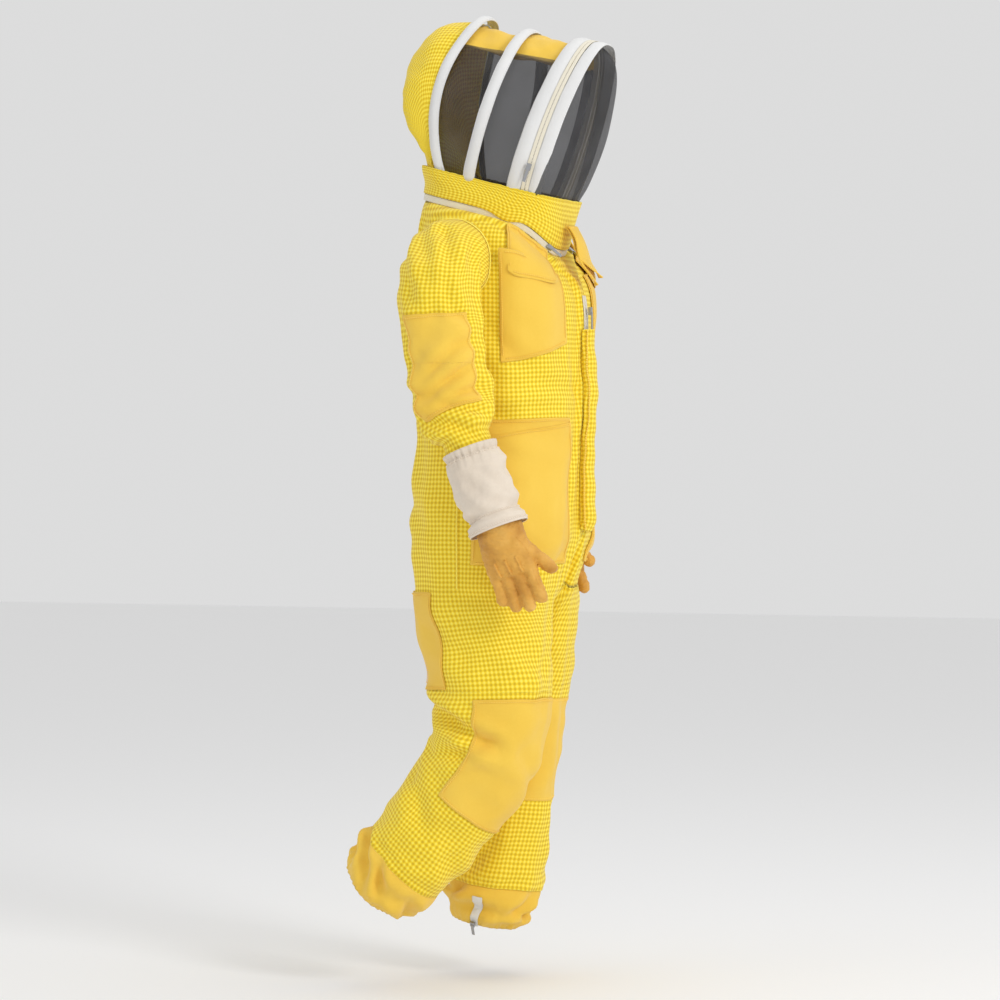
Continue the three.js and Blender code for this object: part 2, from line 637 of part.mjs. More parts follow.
function hood() {
  const skirt = (u, v) => {
    const angle = u * 2 * Math.PI;
    return neckPoint(angle, lerp(SKIRT_TOP, -skirtDepth(angle), v), 1 + 0.025 * v);
  };
  add('hood_skirt', shell(skirt, { around: 28, along: 2, loop: true }), 'mesh_fabric');
  const crownProfile = middleProfile([[108, 302], [150, 300], [184, 289], [224, 243], [240, 192], [236, 150],
    [205, 102], [156, 62], [137, SKIRT_TOP + 2]]);
  const foot = point(0, REAR.foot + 3, HOOD_FOOT);
  const crown = (u, v) => fanPoint(foot, 107, crownProfile, u, v, REAR.bulge);
  const crownShell = { u: [0.05, 0.95], v: [0.01, 1], around: 12, along: 8, inner: -FABRIC, core: hoodCore };
  add('hood_crown', shell(crown, crownShell), 'mesh_fabric');
  add('top_panel', tunnelPanel([0.31, 0.69], 8, 3)(COTTON), 'plain_cotton');
  add('side_veil_right', tunnelPanel([0.02, 0.304], 6, 3)(NET), 'veil_net');
  add('side_veil_left', tunnelPanel([0.98, 0.696], 6, 3)(NET), 'veil_net');
  band('rear_band', REAR, 11, -9);
  band('middle_band', MIDDLE, 11, -11);
  band('front_band', FRONT, 14, -13);
  hoop('rear_hoop', REAR, 1);
  hoop('middle_hoop', MIDDLE, 0);
  hoop('front_hoop', FRONT, 4);
}

function faceVeil() {
  band('veil_band', FRONT, -15, VEIL_EDGE);
  const profile = middleProfile([[-131, 316], [-150, 296], [-163, 262], [-169, 200], [-167, 140], [-160, 77],
    [-150, 40], [-143, SKIRT_TOP + 4]]);
  const foot = point(0, FRONT.foot + VEIL_EDGE + 2, HOOD_FOOT);
  const veil = (u, v) => fanPoint(foot, 113, profile, u, v);
  const veilShell = { u: [0.06, 0.94], v: [0.01, 1], around: 12, along: 6, inner: -NET, core: hoodCore };
  add('face_veil', shell(veil, veilShell), 'veil_net');
  const low = archPoint(FRONT, 0.02, -14);
  const high = archPoint(FRONT, 0.09, -14);
  const out = point(-1, -0.15, 0).normalize();
  const place = low.clone().lerp(high, 0.25).addScaledVector(out, BAND_LIFT + TAPE + 5);
  placeSlider('face_zip_slider', place, out, low.clone().sub(high), 0.8);
}

const NECK_SLIDER_TURN = 20; // degrees from the front to each neck zip slider

function neckSlider(side, label) {
  const angle = side * radians(NECK_SLIDER_TURN);
  const low = neckPoint(angle, -skirtDepth(angle) - NECK_ZIP / 2 - 2);
  const out = low.clone().sub(hoodFrame(0, 0, -skirtDepth(angle))).normalize();
  placeSlider(`neck_zip_slider_${label}`, low.addScaledVector(out, 8), out, point(0, -0.9, -0.75), 0.8);
}

// The hook-and-loop flap that closes over the throat, from the skirt's front down to the chest.
function throatFlap() {
  const profile = new THREE.CatmullRomCurve3([
    point(0, -134, -44), point(0, -150, -78), point(0, -162, -120), point(0, -170, -152)]);
  const surface = (u, v) => {
    const place = profile.getPoint(v);
    const half = v < 0.8 ? 27 : lerp(27, 10, (v - 0.8) / 0.2);
    place.x = lerp(-half, half, u);
    place.y += 6 * (2 * u - 1) ** 2;
    return place;
  };
  add('throat_flap', shell(surface, { around: 4, along: 5, inner: 0, outer: 2.4, core: torsoCore }), 'plain_cotton');
}

coverallBody();
neckZip();
mainZip();
for (const [label, side] of [['right', -1], ['left', 1]]) {
  pockets(side, label);
  sleeve(label);
  glove(label);
  leg(label);
  neckSlider(side, label);
}
hood();
faceVeil();
throatFlap();

export default suit;
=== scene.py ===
import json
import math

import bmesh
import bpy
import numpy as np
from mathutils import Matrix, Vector, noise
from mathutils.bvhtree import BVHTree
from mathutils.kdtree import KDTree


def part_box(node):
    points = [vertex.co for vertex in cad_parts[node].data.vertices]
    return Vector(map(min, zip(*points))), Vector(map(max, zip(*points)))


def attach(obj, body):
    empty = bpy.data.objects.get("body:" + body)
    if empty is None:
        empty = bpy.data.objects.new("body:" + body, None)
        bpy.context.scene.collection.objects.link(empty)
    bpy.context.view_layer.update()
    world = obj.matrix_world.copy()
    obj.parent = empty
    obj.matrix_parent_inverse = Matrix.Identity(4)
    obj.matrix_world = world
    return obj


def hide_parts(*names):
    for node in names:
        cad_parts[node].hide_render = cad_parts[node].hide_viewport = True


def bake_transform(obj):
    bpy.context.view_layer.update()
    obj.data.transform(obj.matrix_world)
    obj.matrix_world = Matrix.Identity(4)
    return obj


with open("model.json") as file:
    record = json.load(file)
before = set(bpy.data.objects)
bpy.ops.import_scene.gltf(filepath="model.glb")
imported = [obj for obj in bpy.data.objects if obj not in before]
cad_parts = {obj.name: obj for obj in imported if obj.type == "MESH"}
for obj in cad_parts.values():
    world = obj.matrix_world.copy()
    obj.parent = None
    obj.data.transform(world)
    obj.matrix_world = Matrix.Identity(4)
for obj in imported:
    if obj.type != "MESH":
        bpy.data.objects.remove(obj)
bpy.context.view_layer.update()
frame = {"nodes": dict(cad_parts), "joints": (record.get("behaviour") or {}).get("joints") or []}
JOINTS = {joint["name"]: joint for joint in frame["joints"]}
SIDES = {"right": -1, "left": 1}

# ---- Driving sizes ----
FLOOR_Z = -1.451             # the height of a wearer's soles
FABRIC = 0.003               # three-layer mesh fabric
COTTON = 0.0012
DOT_PITCH = 0.0085           # the mesh fabric's square grid
HIP_Z = -0.704               # where the trunk's one tube turns into two legs
BREAST_Z = -0.210            # above this the trunk's rings close in towards the neck
TRUNK_Y = 0.020
LEG_CUT_Z = -0.895           # where the fabric is cut into an upper and a lower piece
SLEEVE_CUT_Z = -0.300
TRUNK_COLUMNS = 176
CROTCH_POINTS = 23
SLEEVE_COLUMNS = 72
LONGEST_MOVE = 0.013         # how far the simulation may carry the cloth from its place


# ---- Camera, light and floor ----
def camera():
    azimuth = math.radians(-70)
    elevation = math.radians(1)
    distance = 7.0
    away = Vector((math.sin(azimuth) * math.cos(elevation),
                   -math.cos(azimuth) * math.cos(elevation), math.sin(elevation)))
    right = Vector((math.cos(azimuth), math.sin(azimuth), 0))
    target = right * -0.013 + Vector((0, 0, -0.549))
    data = bpy.data.cameras.new("camera")
    data.lens = 135.5
    data.clip_end = 60
    cam = bpy.data.objects.new("camera", data)
    cam.location = target + away * distance
    cam.rotation_euler = (-away).to_track_quat("-Z", "Y").to_euler()
    bpy.context.scene.collection.objects.link(cam)
    bpy.context.scene.camera = cam


def area_light(name, place, target, size, power):
    data = bpy.data.lights.new(name, "AREA")
    data.shape = "RECTANGLE"
    data.size = size
    data.size_y = size
    data.energy = power
    lamp = bpy.data.objects.new(name, data)
    lamp.location = place
    lamp.rotation_euler = (Vector(target) - Vector(place)).to_track_quat("-Z", "Y").to_euler()
    bpy.context.scene.collection.objects.link(lamp)


def studio():
    scene = bpy.context.scene
    scene.view_settings.view_transform = "Standard"
    world = bpy.data.worlds.new("studio")
    scene.world = world
    world.use_nodes = True
    backdrop = world.node_tree.nodes["Background"]
    backdrop.inputs["Color"].default_value = (1, 1, 1, 1)
    backdrop.inputs["Strength"].default_value = 0.72
    area_light("key", (-2.6, -4.2, 1.5), (0, 0, -0.5), 1.3, 92)
    area_light("fill", (-3.5, 3.0, 0.6), (0, 0, -0.6), 3.0, 10)
    area_light("top", (0.5, -0.5, 3.2), (0, 0, -0.4), 2.2, 22)
    mesh = bpy.data.meshes.new("floor")
    reach = 14
    corners = [(-reach, -reach, 0), (reach, -reach, 0), (reach, reach, 0), (-reach, reach, 0)]
    mesh.from_pydata(corners, [], [(0, 1, 2, 3)])
    floor = bpy.data.objects.new("floor", mesh)
    floor.location = (0, 0, FLOOR_Z)
    scene.collection.objects.link(floor)
    material, shader, _ = new_material("pale_floor", (0.93, 0.93, 0.93), 0.9)
    mesh.materials.append(material)


# ---- Materials ----
def new_material(name, colour, roughness):
    material = bpy.data.materials.new(name)
    material.use_nodes = True
    shader = material.node_tree.nodes["Principled BSDF"]
    shader.inputs["Base Color"].default_value = (*colour, 1)
    shader.inputs["Roughness"].default_value = roughness
    return material, shader, NodeMaker(material.node_tree)


class NodeMaker:
    """Short ways to add shader nodes to a tree."""

    def __init__(self, tree):
        self.tree = tree
        self.link = tree.links.new

    def node(self, kind, **settings):
        """A new node, with its own settings."""
        made = self.tree.nodes.new(kind)
        for key, value in settings.items():
            setattr(made, key, value)
        return made

    def plug(self, socket, value):
        if hasattr(value, "is_output"):
            self.link(value, socket)
        else:
            socket.default_value = value

    def maths(self, operation, *values):
        made = self.node("ShaderNodeMath", operation=operation)
        for socket, value in zip(made.inputs, values):
            self.plug(socket, value)
        return made.outputs[0]

    def object_place(self):
        return self.node("ShaderNodeTexCoord").outputs["Object"]

    def weave_place(self):
        return self.node("ShaderNodeUVMap", uv_map="weave").outputs["UV"]

    def noise(self, scale, detail=3, vector=None):
        made = self.node("ShaderNodeTexNoise")
        self.plug(made.inputs["Vector"], vector or self.object_place())
        made.inputs["Scale"].default_value = scale
        made.inputs["Detail"].default_value = detail
        return made.outputs["Fac"]

    def ramp(self, value, stops):
        made = self.node("ShaderNodeValToRGB")
        self.plug(made.inputs["Fac"], value)
        ramp = made.color_ramp
        while len(ramp.elements) < len(stops):
            ramp.elements.new(0.5)
        for element, (place, colour) in zip(ramp.elements, stops):
            element.position = place
            element.color = (*colour, 1)
        return made.outputs["Color"]

    def bump(self, height, distance, strength):
        made = self.node("ShaderNodeBump")
        self.plug(made.inputs["Height"], height)
        made.inputs["Distance"].default_value = distance
        made.inputs["Strength"].default_value = strength
        return made.outputs["Normal"]

    def waves(self, vector, pitch):
        """Two crossed cosines of that pitch, as numbers from -1 to 1."""
        parts = self.node("ShaderNodeSeparateXYZ")
        self.link(vector, parts.inputs[0])
        turn = 2 * math.pi / pitch
        return [self.maths("COSINE", self.maths("MULTIPLY", parts.outputs[k], turn)) for k in (0, 1)]


def srgb(red, green, blue):
    """Linear colour from screen values of 0 to 255."""
    channels = [value / 255 for value in (red, green, blue)]
    return tuple(c / 12.92 if c <= 0.04045 else ((c + 0.055) / 1.055) ** 2.4 for c in channels)


def mesh_fabric_material():
    """Three-layer mesh: raised knots on a square grid, with open cells between them that a painted shade
    darkens.
    """
    material, shader, make = new_material("mesh_fabric", srgb(238, 205, 50), 0.75)
    place = make.weave_place()
    across, down = make.waves(place, DOT_PITCH)
    cells = make.maths("MULTIPLY_ADD", make.maths("ADD", across, down), 0.25, 0.5)
    fine_across, fine_down = make.waves(place, DOT_PITCH / 6)
    knit = make.maths("MULTIPLY", fine_across, fine_down)
    height = make.maths("MULTIPLY_ADD", knit, 0.05, cells)
    patchy = make.maths("MULTIPLY_ADD", make.noise(9, 2), 0.16, -0.08)
    # Painted shade: the ramp below darkens the low open cells by their height, and patchy adds a random tone.
    painted_shade_and_tone = make.maths("ADD", height, patchy)
    colour = make.ramp(painted_shade_and_tone, [(0.10, srgb(214, 176, 12)), (0.36, srgb(234, 198, 18)),
                               (0.60, srgb(247, 217, 36)), (0.86, srgb(254, 234, 88))])
    make.link(colour, shader.inputs["Base Color"])
    shader.inputs["Sheen Weight"].default_value = 0.15
    make.link(make.bump(height, 0.0016, 0.45), shader.inputs["Normal"])
    return material


def woven_material(name, colours, pitch, bump):
    """Plain woven cloth: fine crossed threads and slow changes of shade."""
    material, shader, make = new_material(name, colours[0], 0.85)
    across, down = make.waves(make.weave_place(), pitch)
    threads = make.maths("MULTIPLY_ADD", make.maths("MULTIPLY", across, down), 0.5, 0.5)
    slubs = make.noise(260, 2)
    clouds = make.noise(6, 3)
    share = make.maths("ADD", make.maths("MULTIPLY", clouds, 0.75),
                       make.maths("MULTIPLY_ADD", threads, 0.12, make.maths("MULTIPLY", slubs, 0.18)))
    colour = make.ramp(share, [(0.25, colours[1]), (0.75, colours[0])])
    make.link(colour, shader.inputs["Base Color"])
    shader.inputs["Sheen Weight"].default_value = 0.2
    height = make.maths("MULTIPLY_ADD", slubs, 0.6, threads)
    make.link(make.bump(height, bump, 0.5), shader.inputs["Normal"])
    return material


def net_material():
    """Black veil netting: light passes between its threads."""
    material, shader, make = new_material("veil_net", srgb(52, 52, 55), 0.6)
    place = make.object_place()
    clouds = make.noise(14, 2, place)
    colour = make.ramp(clouds, [(0.3, srgb(38, 38, 41)), (0.7, srgb(64, 64, 68))])
    make.link(colour, shader.inputs["Base Color"])
    threads = make.noise(1400, 1, place)
    make.link(make.bump(threads, 0.0004, 0.4), shader.inputs["Normal"])
    clear = make.node("ShaderNodeBsdfTransparent")
    both = make.node("ShaderNodeMixShader")
    both.inputs[0].default_value = 0.66
    make.link(clear.outputs[0], both.inputs[1])
    make.link(shader.outputs[0], both.inputs[2])
    out = material.node_tree.nodes["Material Output"]
    make.link(both.outputs[0], out.inputs["Surface"])
    return material


def leather_material():
    """Goatskin: a fine pebble grain, slow shade changes and creases in its bump."""
    material, shader, make = new_material("leather", srgb(222, 165, 66), 0.55)
    place = make.object_place()
    clouds = make.noise(22, 4, place)
    shades = [(0.3, srgb(196, 136, 42)), (0.55, srgb(222, 165, 66)), (0.8, srgb(236, 186, 92))]
    colour = make.ramp(clouds, shades)
    make.link(colour, shader.inputs["Base Color"])
    grain = make.node("ShaderNodeTexVoronoi")
    make.link(place, grain.inputs["Vector"])
    grain.inputs["Scale"].default_value = 900
    creases = make.noise(120, 4, place)
    height = make.maths("MULTIPLY_ADD", creases, 1.5, grain.outputs["Distance"])
    make.link(make.bump(height, 0.0006, 0.6), shader.inputs["Normal"])
    shader.inputs["Sheen Weight"].default_value = 0.1
    return material


def metal_material(name, colour, roughness):
    material, shader, make = new_material(name, colour, roughness)
    shader.inputs["Metallic"].default_value = 1.0
    marks = make.noise(160, 3)
    rough = make.node("ShaderNodeMapRange")
    make.link(marks, rough.inputs["Value"])
    rough.inputs["To Min"].default_value = roughness * 0.75
    rough.inputs["To Max"].default_value = roughness * 1.35
    make.link(rough.outputs[0], shader.inputs["Roughness"])
    make.link(make.bump(marks, 0.0003, 0.4), shader.inputs["Normal"])
    return material


# Woven cloths: the two shades, the thread pitch and the depth of the weave.
WOVEN = {
    "plain_cotton": ((247, 207, 80), (236, 190, 58), 0.0014, 0.0004),
    "white_tape": ((232, 232, 231), (214, 214, 214), 0.0022, 0.0005),
    "zip_tape": ((238, 232, 214), (222, 214, 194), 0.0018, 0.0005),
    "canvas": ((236, 223, 206), (214, 199, 180), 0.0019, 0.0007),
    "thread": ((250, 214, 92), (236, 190, 60), 0.001, 0.0003),
}


def make_materials():
    made = {
        "mesh_fabric": mesh_fabric_material(),
        "veil_net": net_material(),
        "leather": leather_material(),
        "zip_metal": metal_material("zip_metal", srgb(176, 177, 180), 0.35),
        "hoop_wire": metal_material("hoop_wire", srgb(185, 188, 192), 0.3),
    }
    for name, (light, dark, pitch, bump) in WOVEN.items():
        made[name] = woven_material(name, (srgb(*light), srgb(*dark)), pitch, bump)
    return made


camera()
MATERIALS = make_materials()
studio()


# ---- Reading shapes from the frame ----
def surface_of(*names):
    """One tree of these CAD nodes' faces."""
    vertices, faces = [], []
    for name in names:
        mesh = frame["nodes"][name].data
        base = len(vertices)
        vertices += [v.co.copy() for v in mesh.vertices]
        faces += [[base + i for i in p.vertices] for p in mesh.polygons]
    return BVHTree.FromPolygons(vertices, faces)


def node_points(name):
    """A CAD node's different vertices."""
    points = np.array([v.co for v in frame["nodes"][name].data.vertices])
    return np.unique(points.round(5), axis=0)


def facing_end(name, other, reach=0.009):
    """The centre of the end of one tube that faces the next one."""
    points = node_points(name)
    near = node_points(other)
    gaps = np.linalg.norm(points[:, None] - near[None], axis=2).min(axis=1)
    return points[gaps < reach].mean(axis=0)


def outer_radius(tree, centre, direction, reach=0.4):
    """How far from centre the nodes' outermost face lies in a direction, or nan."""
    start = Vector(centre) + Vector(direction) * reach
    hit = tree.ray_cast(start, -Vector(direction), reach)[0]
    return (hit - Vector(centre)).length if hit else math.nan


def fill_gaps(radii, times=300):
    """Fills the cells where no ray hit from the cells around them."""
    gaps = np.isnan(radii)
    filled = np.where(gaps, np.nanmean(radii), radii)
    for _ in range(times):
        padded = np.vstack([filled[:1], filled, filled[-1:]])
        around = padded[:-2] + padded[2:] + np.roll(filled, 1, 1) + np.roll(filled, -1, 1)
        filled = np.where(gaps, around / 4, radii)
    return filled


def evened(values, times, keep_first=False, wrap=True):
    """Evens a grid of values out along its rows and columns."""
    values = values.copy()
    for _ in range(times):
        if wrap:
            soft = (np.roll(values, 1, 1) + np.roll(values, -1, 1)) / 4 + values / 2
        else:
            soft = values.copy()
            soft[:, 1:-1] = (values[:, :-2] + values[:, 2:]) / 4 + values[:, 1:-1] / 2
        inner = soft.copy()
        inner[1:-1] = soft[1:-1] / 2 + (soft[:-2] + soft[2:]) / 4
        if keep_first:
            inner[0] = values[0]
        values = inner
    return values


def walked_along(line):
    """How far along a line of points each one is."""
    return np.concatenate([[0], np.cumsum(np.linalg.norm(np.diff(line, axis=0), axis=1))])


def point_along(line, walked, distance):
    return np.array([np.interp(distance, walked, line[:, k]) for k in range(3)])


def smooth_path(points, spacing):
    """Evenly spaced points along a smooth curve through the given ones."""
    given = [np.array(p, float) for p in points]
    ends = [2 * given[0] - given[1], *given, 2 * given[-1] - given[-2]]
    dense = []
    for a, b, c, d in zip(ends, ends[1:], ends[2:], ends[3:]):
        for t in np.linspace(0, 1, 30, endpoint=False):
            dense.append(0.5 * (2 * b + (c - a) * t + (2 * a - 5 * b + 4 * c - d) * t * t
                                + (3 * b - a - 3 * c + d) * t ** 3))
    dense = np.array([*dense, given[-1]])
    walked = walked_along(dense)
    wanted = np.linspace(0, walked[-1], max(2, round(walked[-1] / spacing) + 1))
    return point_along(dense, walked, wanted).T


def ramp_up(value, low, high):
    """0 below low, 1 above high, and smooth between."""
    share = np.clip((value - low) / (high - low), 0, 1)
    return share * share * (3 - 2 * share)


class Tube:
    """A grid of points round a limb: rows along it and columns round it, which close on themselves."""

    def __init__(self, points, centres):
        self.points = points
        self.centres = centres
        self.rest = points.copy()

    @property
    def shape(self):
        return self.points.shape[:2]

    def place(self, rows, columns):
        """Points between the grid's own, at whole or part rows and columns."""
        count, around = self.shape
        rows = np.clip(rows, 0, count - 1.001)
        low = np.floor(rows).astype(int)
        left = np.floor(columns).astype(int)
        across = (columns - left)[..., None]
        down = (rows - low)[..., None]
        cell = [self.points[low + i, (left + j) % around] for i in (0, 1) for j in (0, 1)]
        upper = cell[0] * (1 - across) + cell[1] * across
        lower = cell[2] * (1 - across) + cell[3] * across
        return upper * (1 - down) + lower * down

    def normals(self, rows, columns):
        across = self.place(rows, columns + 0.7) - self.place(rows, columns - 0.7)
        down = self.place(rows + 0.7, columns) - self.place(rows - 0.7, columns)
        normal = np.cross(across, down)
        normal /= np.linalg.norm(normal, axis=-1, keepdims=True) + 1e-12
        inside = self.centres[np.clip(np.round(rows).astype(int), 0, len(self.centres) - 1)]
        outwards = np.sum(normal * (self.place(rows, columns) - inside), axis=-1).mean() > 0
        return normal if outwards else -normal

    def extent(self, name):
        """The rows and columns that a CAD node covers: first row, last row, first column, last column."""
        count, around = self.shape
        tree = KDTree(count * around)
        for k, point in enumerate(self.rest.reshape(-1, 3)):
            tree.insert(point, k)
        tree.balance()
        found = np.array([divmod(tree.find(p)[1], around) for p in node_points(name)], float)
        turns = found[:, 1] / around * 2 * math.pi
        middle = math.atan2(np.sin(turns).mean(), np.cos(turns).mean())
        apart = (turns - middle + math.pi) % (2 * math.pi) - math.pi
        columns = (middle + apart) / (2 * math.pi) * around
        return (*np.percentile(found[:, 0], [2, 98]), *np.percentile(columns, [2, 98]))


# ---- The coverall's trunk and legs, as one cloth ----
def trunk_tube():
    tree = surface_of("front_body_right", "front_body_left", "back_body", "seat")
    turns = np.arange(TRUNK_COLUMNS) / TRUNK_COLUMNS * 2 * math.pi
    level = np.stack([-np.sin(turns), -np.cos(turns), 0 * turns], axis=1)
    up = np.array([0, 0, 1.0])
    core = np.array([0, TRUNK_Y, BREAST_Z])
    slopes = np.radians(np.arange(35, 85, 0.5))
    tops = []
    for direction in level:
        rays = [direction * math.cos(s) + up * math.sin(s) for s in slopes]
        hits = [s for s, ray in zip(slopes, rays) if not math.isnan(outer_radius(tree, core, ray))]
        tops.append(hits[-1] if hits else math.nan)
    tops = evened(fill_gaps(np.array([tops])), 4)[0]
    fan_rows = 30
    cores, directions, centres = [], [], []
    for row in range(fan_rows):
        slope = tops * (1 - row / fan_rows)
        directions.append(level * np.cos(slope)[:, None] + up * np.sin(slope)[:, None])
        centres.append(core)
    for height in np.linspace(BREAST_Z, HIP_Z, 68):
        directions.append(level)
        centres.append(np.array([0, TRUNK_Y, height]))
    directions, centres = np.array(directions), np.array(centres)
    radii = np.array([[outer_radius(tree, c, d) for d in row] for c, row in zip(centres, directions)])
    radii = evened(fill_gaps(radii), 7)
    return Tube(centres[:, None] + directions * radii[..., None], centres)


def limb_path(nodes, joint, spacing, end=32):
    """The centreline of a limb's tubes, from the open end of the first to the open end of the last."""
    first = node_points(nodes[0])
    start = first[first[:, 2] > first[:, 2].max() - 0.004].mean(axis=0)
    between = [facing_end(a, b) for a, b in zip(nodes, nodes[1:])]
    last = node_points(nodes[-1])
    along = last.mean(axis=0) - between[-1]
    farthest = last[np.argsort(last @ along)[-end:]]
    knots = [start, *between, farthest.mean(axis=0)]
    knots.insert(2, np.array(JOINTS[joint]["pos_m"]))
    return smooth_path(knots, spacing)


def limb_frames(path, side, level_rows):
    """At each row: ahead and outward, square to the limb. The first rows stay level."""
    steps = np.gradient(path, axis=0)
    leans = np.arctan2(steps[:, 1], -steps[:, 2]) * ramp_up(np.arange(len(path)), 0, level_rows)
    ahead = np.stack([0 * leans, -np.cos(leans), -np.sin(leans)], axis=1)
    outward = np.array([side, 0.0, 0.0])
    return ahead, outward


def leg_tube(side, label, trunk):
    nodes = [f"{part}_{label}" for part in ("thigh", "knee_section", "shin", "leg_cuff")]
    tree = surface_of(*nodes)
    path = limb_path(nodes, "knee_" + label, 0.0088)
    ahead, outward = limb_frames(path, side, 12)
    half = TRUNK_COLUMNS // 2
    hip_columns = [(k if side < 0 else -k) % TRUNK_COLUMNS for k in range(half + 1)]
    outline = trunk.points[-1][hip_columns]
    share = np.arange(1, CROTCH_POINTS + 1) / (CROTCH_POINTS + 1)
    chain = outline[-1] + (outline[0] - outline[-1]) * share[:, None]
    chain[:, 0] = 0
    chain[:, 2] -= 0.012 * np.sin(math.pi * share)
    first = np.vstack([outline, chain])
    count = len(first)
    gap = first - path[0]
    angles = np.unwrap(np.arctan2(gap @ outward, gap @ ahead[0]))
    outer = half // 2
    even = math.pi / 2 + (np.arange(count) - outer) * 2 * math.pi / count
    angles += 2 * math.pi * round((even.mean() - angles.mean()) / (2 * math.pi))
    radii, rings = [np.linalg.norm(gap, axis=1)], [None]
    for row in range(1, len(path)):
        turn = angles + (even - angles) * ramp_up(row, 0, 14)
        ring = ahead[row] * np.cos(turn)[:, None] + outward * np.sin(turn)[:, None]
        rings.append(ring)
        radii.append([outer_radius(tree, path[row], d, 0.3) for d in ring])
    radii = evened(fill_gaps(np.array(radii)), 7, keep_first=True)
    points = [first]
    for row in range(1, len(path)):
        points.append(path[row] + rings[row] * radii[row][:, None])
    leg = Tube(np.array(points), path)
    leg.outer = outer
    leg.hip_columns = hip_columns
    leg.cuff_row = nearest_row(path, facing_end(nodes[2], nodes[3]))
    return leg


def flattened(points):
    """Draws the front in over the hips and thighs, where the loose cloth hangs back from the belly."""
    height = points[..., 2]
    share = 0.17 * ramp_up(-height, 0.60, 0.71) * (1 - ramp_up(-height, 0.74, 0.90))
    front = np.minimum(points[..., 1] - TRUNK_Y, 0)
    points[..., 1] -= front * share
    return points


def nearest_row(path, point):
    return int(np.argmin(np.linalg.norm(path - point, axis=1)))


def grown(tube, along, around):
    """The tube's points, cut longer and wider: along is each row's growth, around one number."""
    steps = np.diff(tube.centres, axis=0)
    factors = (along[1:] + along[:-1]) / 2
    centres = tube.centres[0] + np.vstack([np.zeros(3), np.cumsum(steps * factors[:, None], axis=0)])
    return centres[:, None] + (tube.points - tube.centres[:, None]) * around


def seeded_folds(points, centres, size, height, squash=(1, 1, 1)):
    """Small bulges out of the cloth, so that it has somewhere to start folding."""
    moved = points.copy()
    for row in range(points.shape[0]):
        for column in range(points.shape[1]):
            point = Vector(points[row, column])
            place = Vector([c / (size * s) for c, s in zip(point, squash)])
            out = (point - Vector(centres[row])).normalized()
            moved[row, column] += np.array(out) * noise.noise(place) * height
    return moved


def row_at(tube, height):
    return int(np.argmin(np.abs(tube.centres[:, 2] - height)))


def creased(tube, creases, first_column, per_degree, calm=()):
    """Presses valleys with raised lips into the cloth.

    Each crease runs from a height and an angle from the front to another, with its depth and half width.
    calm gives two rows between which the creases grow from nothing to their full depth."""
    outs = tube.points - tube.centres[:, None]
    outs /= np.linalg.norm(outs, axis=2, keepdims=True) + 1e-9
    shift = np.zeros(tube.shape)
    share = np.linspace(0, 1, 26)
    for high, start, low, end, depth, width in creases:
        rows = row_at(tube, high) + (row_at(tube, low) - row_at(tube, high)) * share
        sag = 5 * np.sin(math.pi * share)
        columns = first_column + per_degree * (start + (end - start) * share + sag)
        line = tube.place(rows, columns)
        gaps = np.linalg.norm(tube.points[:, :, None] - line, axis=3)
        near = gaps.min(axis=2)
        taper = np.sin(math.pi * (0.08 + 0.84 * share[gaps.argmin(axis=2)])) ** 0.7
        valley = np.exp(-(near / width) ** 2)
        lips = np.exp(-((near - 2.1 * width) / (1.0 * width)) ** 2)
        shift += taper * depth * (0.6 * lips - valley)
    if calm:
        shift *= ramp_up(np.arange(tube.shape[0]), *calm)[:, None]
    tube.points = tube.points + outs * shift[..., None]


SLEEVE_CREASES = [
    (-0.075, 95, -0.165, 30, 0.006, 0.010), (-0.060, 125, -0.170, 88, 0.005, 0.011),
    (-0.110, 160, -0.185, 118, 0.005, 0.010), (-0.140, 70, -0.235, 22, 0.005, 0.009),
    (-0.262, 22, -0.318, 112, 0.008, 0.010), (-0.300, 18, -0.345, 100, 0.008, 0.009),
    (-0.330, 170, -0.352, 100, 0.006, 0.009), (-0.345, 10, -0.376, 85, 0.006, 0.008),
    (-0.382, 138, -0.440, 30, 0.010, 0.010), (-0.372, 90, -0.408, 12, 0.007, 0.008),
    (-0.405, 172, -0.450, 100, 0.008, 0.009), (-0.415, 80, -0.462, 5, 0.006, 0.008),
    (-0.300, -20, -0.400, -75, 0.007, 0.011), (-0.360, -30, -0.440, -120, 0.007, 0.011),
]
LEG_CREASES = {
    "right": [
        (-0.935, 165, -0.985, 62, 0.019, 0.013), (-1.035, 118, -0.978, 70, 0.011, 0.011),
        (-0.905, 178, -0.952, 118, 0.012, 0.012), (-0.965, 190, -0.990, 120, 0.013, 0.012),
        (-1.010, 200, -1.050, 128, 0.006, 0.014), (-0.985, 30, -1.030, -35, 0.007, 0.014),
        (-0.760, 150, -0.850, 70, 0.005, 0.018), (-0.800, 50, -0.880, -10, 0.005, 0.016),
        (-1.080, 150, -1.150, 60, 0.006, 0.016), (-1.120, 60, -1.190, -10, 0.006, 0.016),
        (-0.980, 260, -1.060, 200, 0.007, 0.015), (-0.860, 215, -0.960, 170, 0.008, 0.016),
    ],
    "left": [
        (-0.950, 150, -1.010, 60, 0.008, 0.015), (-1.030, 120, -1.060, 30, 0.006, 0.014),
        (-1.110, 60, -1.240, 15, 0.007, 0.016), (-1.100, 150, -1.220, 110, 0.006, 0.016),
        (-1.150, 110, -1.245, 60, 0.007, 0.015), (-0.780, 100, -0.880, 20, 0.005, 0.018),
        (-0.980, 260, -1.080, 200, 0.007, 0.015), (-1.180, 275, -1.250, 230, 0.007, 0.013),
    ],
}
